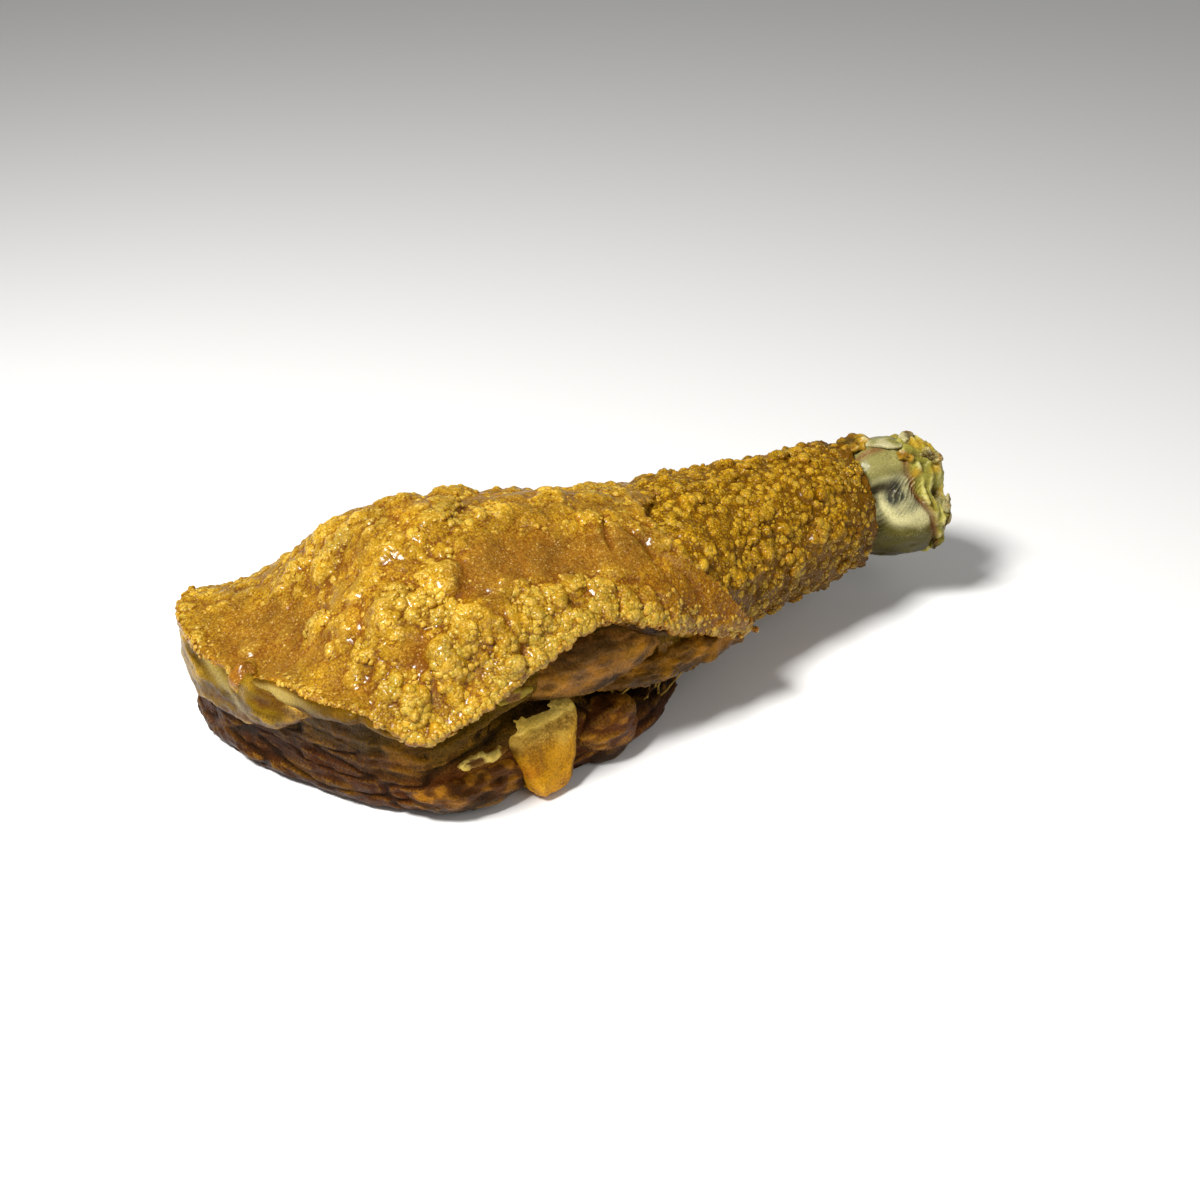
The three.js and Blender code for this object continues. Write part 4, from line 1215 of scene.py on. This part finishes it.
# The hock: the knuckle at the end of the shank, where the foot was taken off. Its skin is drawn
# tight and shiny over the joint, with a tendon along the top, a dark slit below it, and a torn end.
HOCK_SHARE = [0, 0.22, 0.43, 0.54, 0.67, 0.78, 0.84, 0.88, 0.94, 1]
HOCK_X = [150, 185, 212, 226, 246, 259, 265, 264, 260, 259]
HOCK_Y = [14, 18, 20, 20, 16, 13, 12, 12, 12, 12]
HOCK_Z = [59, 59, 60, 60, 60, 59, 58, 58, 58, 58]
HOCK_RADIUS = [13, 15, 21, 29, 33, 31, 27, 21, 12, 0.8]
HOCK_ROWS = 240
HOCK_COLS = 260
END_FACE = [0.82, 0.88] # from here on the hock's skin turns in and faces along the leg
END_BONE = {"radius": 11, "high": 2, "marrow": 4}
BARE_FROM_TO = [205, 225]
RIDGES = [(105, 24, 4), (148, 15, -6)] # the tendon and the slit's hollow: degrees round, spread and height
WRINKLES = {"x": 238, "reach": 11, "degrees": 151, "spread": 21, "apart": 1.9, "high": 0.55}
SLIT = {"degrees": 141, "spread": 6, "deep": 2.5}
STRETCH = {"degrees": 165, "apart": 6, "high": 0.35}
# The edge of the torn end: how far along it lies at each angle round the hock
CUT_DEGREES = [0, 60, 90, 115, 133, 160, 191, 230, 300, 360]
CUT_X = [253, 250, 246, 241, 242, 246, 253, 257, 256, 253]
PITS = [(258, 4, 156, 13, 5), (251, 3, 126, 8, 2), (262, 3, 200, 14, 3)] # x, reach, degrees, spread, depth
CREAM_SKIN = "#c6be88"
OLIVE_SKIN = "#4b4414"
LOW_OLIVE = "#342c00"
SILVER = "#34352c"
TENDON = "#857e48"
CUT_BROWN = paint("#5e2c06")
# The torn end's beige and cream carry a green-yellow cast that is painted reflected light
TORN_BEIGE = "#8a8234"
TORN_CREAM = "#b4aa5a"
TORN_GOLD = "#a8821c"
PIT_DARK = "#2e2a12"
END_FLESH = ["#8a6832", "#5c3818"]
END_BONE_PALE = "#b89c60"
MARROW = "#6e4220"
RED_LINE = "#6e3a20"
hock_finish = roasted(
    "hock_skin", "hock_skin", tip="#d4cc94", crevice="#3a2a0e", grain=0.8, rough=(0.2, 0.45), bump=0.35,
    wet=0.07, speckle=0.6, coat=0.1, glow=0.15,
)


def ridges(degrees):
    """How far the tendon and the hollow beside it stand out or in, at each angle round the hock."""
    return sum(high * bell(degrees, at, spread) for at, spread, high in RIDGES)


u, degrees = pairs(np.linspace(0, 1, HOCK_ROWS), 360 * np.arange(HOCK_COLS) / HOCK_COLS)
centre = np.stack([through(HOCK_SHARE, line, u) for line in (HOCK_X, HOCK_Y, HOCK_Z)], -1)
x = centre[:, 0]
bare = ease(*BARE_FROM_TO, x)
reach = through(HOCK_SHARE, HOCK_RADIUS, u) + bare * ridges(degrees)
spoke = np.stack([np.zeros_like(x), np.cos(np.radians(degrees)), np.sin(np.radians(degrees))], -1)
p = centre + spoke * reach[:, None]

# Its relief: the wrinkled silver skin, the torn end with its pits, the slit and the stretched skin
spot = ((x - WRINKLES["x"]) / WRINKLES["reach"]) ** 2
spot = spot + ((degrees - WRINKLES["degrees"]) / WRINKLES["spread"]) ** 2
wrinkled = np.exp(-spot * spot)
arc = np.radians(degrees - WRINKLES["degrees"]) * reach
slant = 0.8 * (x - WRINKLES["x"]) + 0.6 * arc + 1.3 * drift(p, 8, 601)
wrinkle = WRINKLES["high"] * wrinkled * (0.8 + 0.6 * drift(p, 5, 609))
wrinkle = wrinkle * np.sin(2 * math.pi * slant / WRINKLES["apart"])
past_cut = x - through(CUT_DEGREES, CUT_X, degrees) + 1.8 * drift(p, 6, 602)
torn = ease(-0.5, 2, past_cut) * bare
strands = drift(p, (2.6, 12, 12), 607)
ragged = torn * (1.6 * drift(p, 4.5, 603) + 1.4 * strands + 0.8 * drift(p, 2.0, 604))
pit = np.zeros_like(x)
for pit_x, pit_reach, at, spread, deep in PITS:
    pit = np.maximum(pit, deep * bell(x, pit_x, pit_reach) * bell(degrees, at, spread))
slit = bell(degrees + 3 * drift(p, 8, 608), SLIT["degrees"], SLIT["spread"]) * bare * ease(238, 226, x)
groove = 1.4 * bare * bell(past_cut, 0, 1.5) + SLIT["deep"] * slit
stretch = STRETCH["high"] * bare * ease(232, 222, x) * ease(160, 168, degrees) * ease(200, 186, degrees)
slant = degrees - STRETCH["degrees"] + 0.9 * (x - 226)
stretch = stretch * np.sin(2 * math.pi * slant / STRETCH["apart"])
skin_waves = 0.7 * bare * drift(p, (9, 4, 4), 605) + 0.15 * drift(p, 1.6, 606)

# Its end face: the sawn bone with its marrow, in a ring of flesh
from_axis = np.hypot(p[:, 1] - HOCK_Y[-1], p[:, 2] - HOCK_Z[-1]) + 0.8 * drift(p, 7, 617)
at_end = ease(*END_FACE, u)
end_bone = at_end * ease(END_BONE["radius"] + 1.5, END_BONE["radius"] - 1.5, from_axis)
bone_gap = at_end * bell(from_axis - END_BONE["radius"], 1.5, 1.5)
marrow = at_end * ease(END_BONE["marrow"] + 1, END_BONE["marrow"] - 1, from_axis)
rough = wrinkle + ragged * (1 - 0.7 * end_bone) - pit - groove + skin_waves + stretch
rough = rough + END_BONE["high"] * end_bone - 1.5 * bone_gap - marrow
facing = unit(spoke * (1 - at_end)[:, None] + np.array([1.0, 0, 0]) * at_end[:, None])
p = p + facing * rough[:, None]

cut_stain = bell(past_cut, 0, 2.6) * ease(108, 120, degrees) * ease(215, 195, degrees)
tint = tinted(
    CREAM_SKIN,
    (OLIVE_SKIN, ease(172, 192, degrees + 12 * drift(p, 9, 611))),
    (LOW_OLIVE, ease(205, 235, degrees + 12 * drift(p, 9, 612))),
    (TENDON, ease(136, 128, degrees)),
    (OLIVE_SKIN, ease(80, 60, degrees + 8 * drift(p, 9, 614))),
    (SILVER, np.clip(wrinkled * (1 + 0.5 * drift(p, 5, 615)), 0, 1)),
    # Painted shade in the slit's groove
    (DARK_MEAT, 0.9 * np.clip(1.3 * slit, 0, 1)),
    (RED_LINE, 0.7 * bare * bell(degrees, 104, 4) * ease(240, 232, x)),
    (TORN_BEIGE, torn),
    (TORN_CREAM, torn * ease(0.05, 0.5, strands)),
    (TORN_GOLD, 0.7 * torn * ease(0.1, 0.6, drift(p, 7, 616))),
    (CUT_BROWN, 0.9 * cut_stain * (0.75 + 0.5 * drift(p, 5, 613))),
    # Painted shade: darker as deep as the pits go
    (PIT_DARK, 0.85 * np.clip(pit / 4, 0, 1)),
    (tinted(END_FLESH[0], (END_FLESH[1], ease(-0.3, 0.4, drift(p, 6, 618)))), 0.85 * at_end),
    (END_BONE_PALE, 0.9 * end_bone),
    (MARROW, 0.8 * marrow),
    (CUT_BROWN, 0.7 * bone_gap),
)
relief = wrinkle / WRINKLES["high"] + ragged / 2
lift = np.clip(0.5 + 0.3 * relief + 0.5 * stretch + 0.2 * skin_waves, 0, 1)
solid(
    "knuckle",
    np.concatenate([p, [centre[0], p[-HOCK_COLS:].mean(0)]]),
    capped(HOCK_ROWS, HOCK_COLS),
    hock_finish,
    np.concatenate([tint, [CUT_BROWN, CUT_BROWN]]),
    np.concatenate([lift, [0.4, 0.4]]),
    "hock",
)


# What is left on the hock: crumbs of crackling, a nub of bone and a strip of cartilage on top, and
# scraps of skin that stand out round the torn end. All but the strip are rough lobes.
# Their names, places along and round the hock and above its skin, half sizes, turns and colours
SCRAPS = [
    ("neck_crumb", 225, 84, 2, [11, 9, 4], 10, "#98741c"),
    ("cut_crumb", 241, 118, 0.5, [3, 5, 2.6], 25, "#96731a"),
    ("bone_nub", 251, 94, 0, [4, 4, 3.4], 0, "#9c9266"),
    ("end_flap", 256, 116, -1, [5, 8, 4], 30, "#9c8d52"),
    ("end_lip", 260.5, 172, -0.5, [2.4, 3.4, 10], 15, "#989062"),
    ("low_flap", 257, 207, -1, [4, 3.5, 8], -10, "#675f1c"),
    ("back_flap", 258, 20, -2, [4, 5, 10], 0, "#85784a"),
    ("under_flap", 256, 285, -2, [4, 9, 4], 0, "#74683a"),
]
SCRAP_ROUGH = 2.0
STRIP_X = [228, 233, 238, 243]
STRIP_DEGREES = [92, 97, 103, 108]
STRIP_ABOVE = 0.6
STRIP_SIZES = [4.2, 2.2]


def hock_place(along_x, degrees, above):
    """A point this far above the hock's even skin, at this x and angle round it."""
    share = np.interp(along_x, HOCK_X[:7], HOCK_SHARE[:7])
    middle_y, middle_z, radius = (through(HOCK_SHARE, line, share) for line in (HOCK_Y, HOCK_Z, HOCK_RADIUS))
    angle = np.radians(degrees)
    away = radius + above + ridges(degrees)
    return np.stack([along_x, middle_y + away * np.cos(angle), middle_z + away * np.sin(angle)], -1)


for name, along_x, degrees, above, half, turn, own in SCRAPS:
    at = hock_place(float(along_x), float(degrees), above)
    p, facing, faces = lobe(at, half, turn, rows=60, cols=90)
    rough = SCRAP_ROUGH * (drift(p, (4, 5, 5), 621) + 0.45 * drift(p, 1.9, 622)) - 0.6
    tint = tinted(own, (SINGED, 0.8 * ease(-0.2, 0.5, drift(p, 3.5, 623))))
    lift = np.clip(0.5 + 0.3 * rough, 0, 1)
    solid(name, p + facing * rough[:, None], faces, hock_finish, tint, lift, "hock")

along = np.linspace(0, 1, 90)
strip_x = STRIP_X[0] + (STRIP_X[-1] - STRIP_X[0]) * along
path = hock_place(strip_x, through(STRIP_X, STRIP_DEGREES, strip_x), STRIP_ABOVE)
sizes = np.array(STRIP_SIZES) * (0.1 + 0.9 * np.sin(math.pi * along) ** 0.5)[:, None]
p, facing, faces = tube(path, sizes, sides=36)
rough = 0.5 * drift(p, (6, 2.5, 2.5), 631)
tint = tinted("#a69e74", ("#7c763c", ease(-0.3, 0.5, drift(p, 5, 632))))
solid("cartilage", p + facing * rough[:, None], faces, hock_finish, tint, 0.55 + 0.4 * rough, "hock")

sizes = {"cad": [list(corner) for corner in cad_box], "visual": [list(corner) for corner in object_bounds()]}
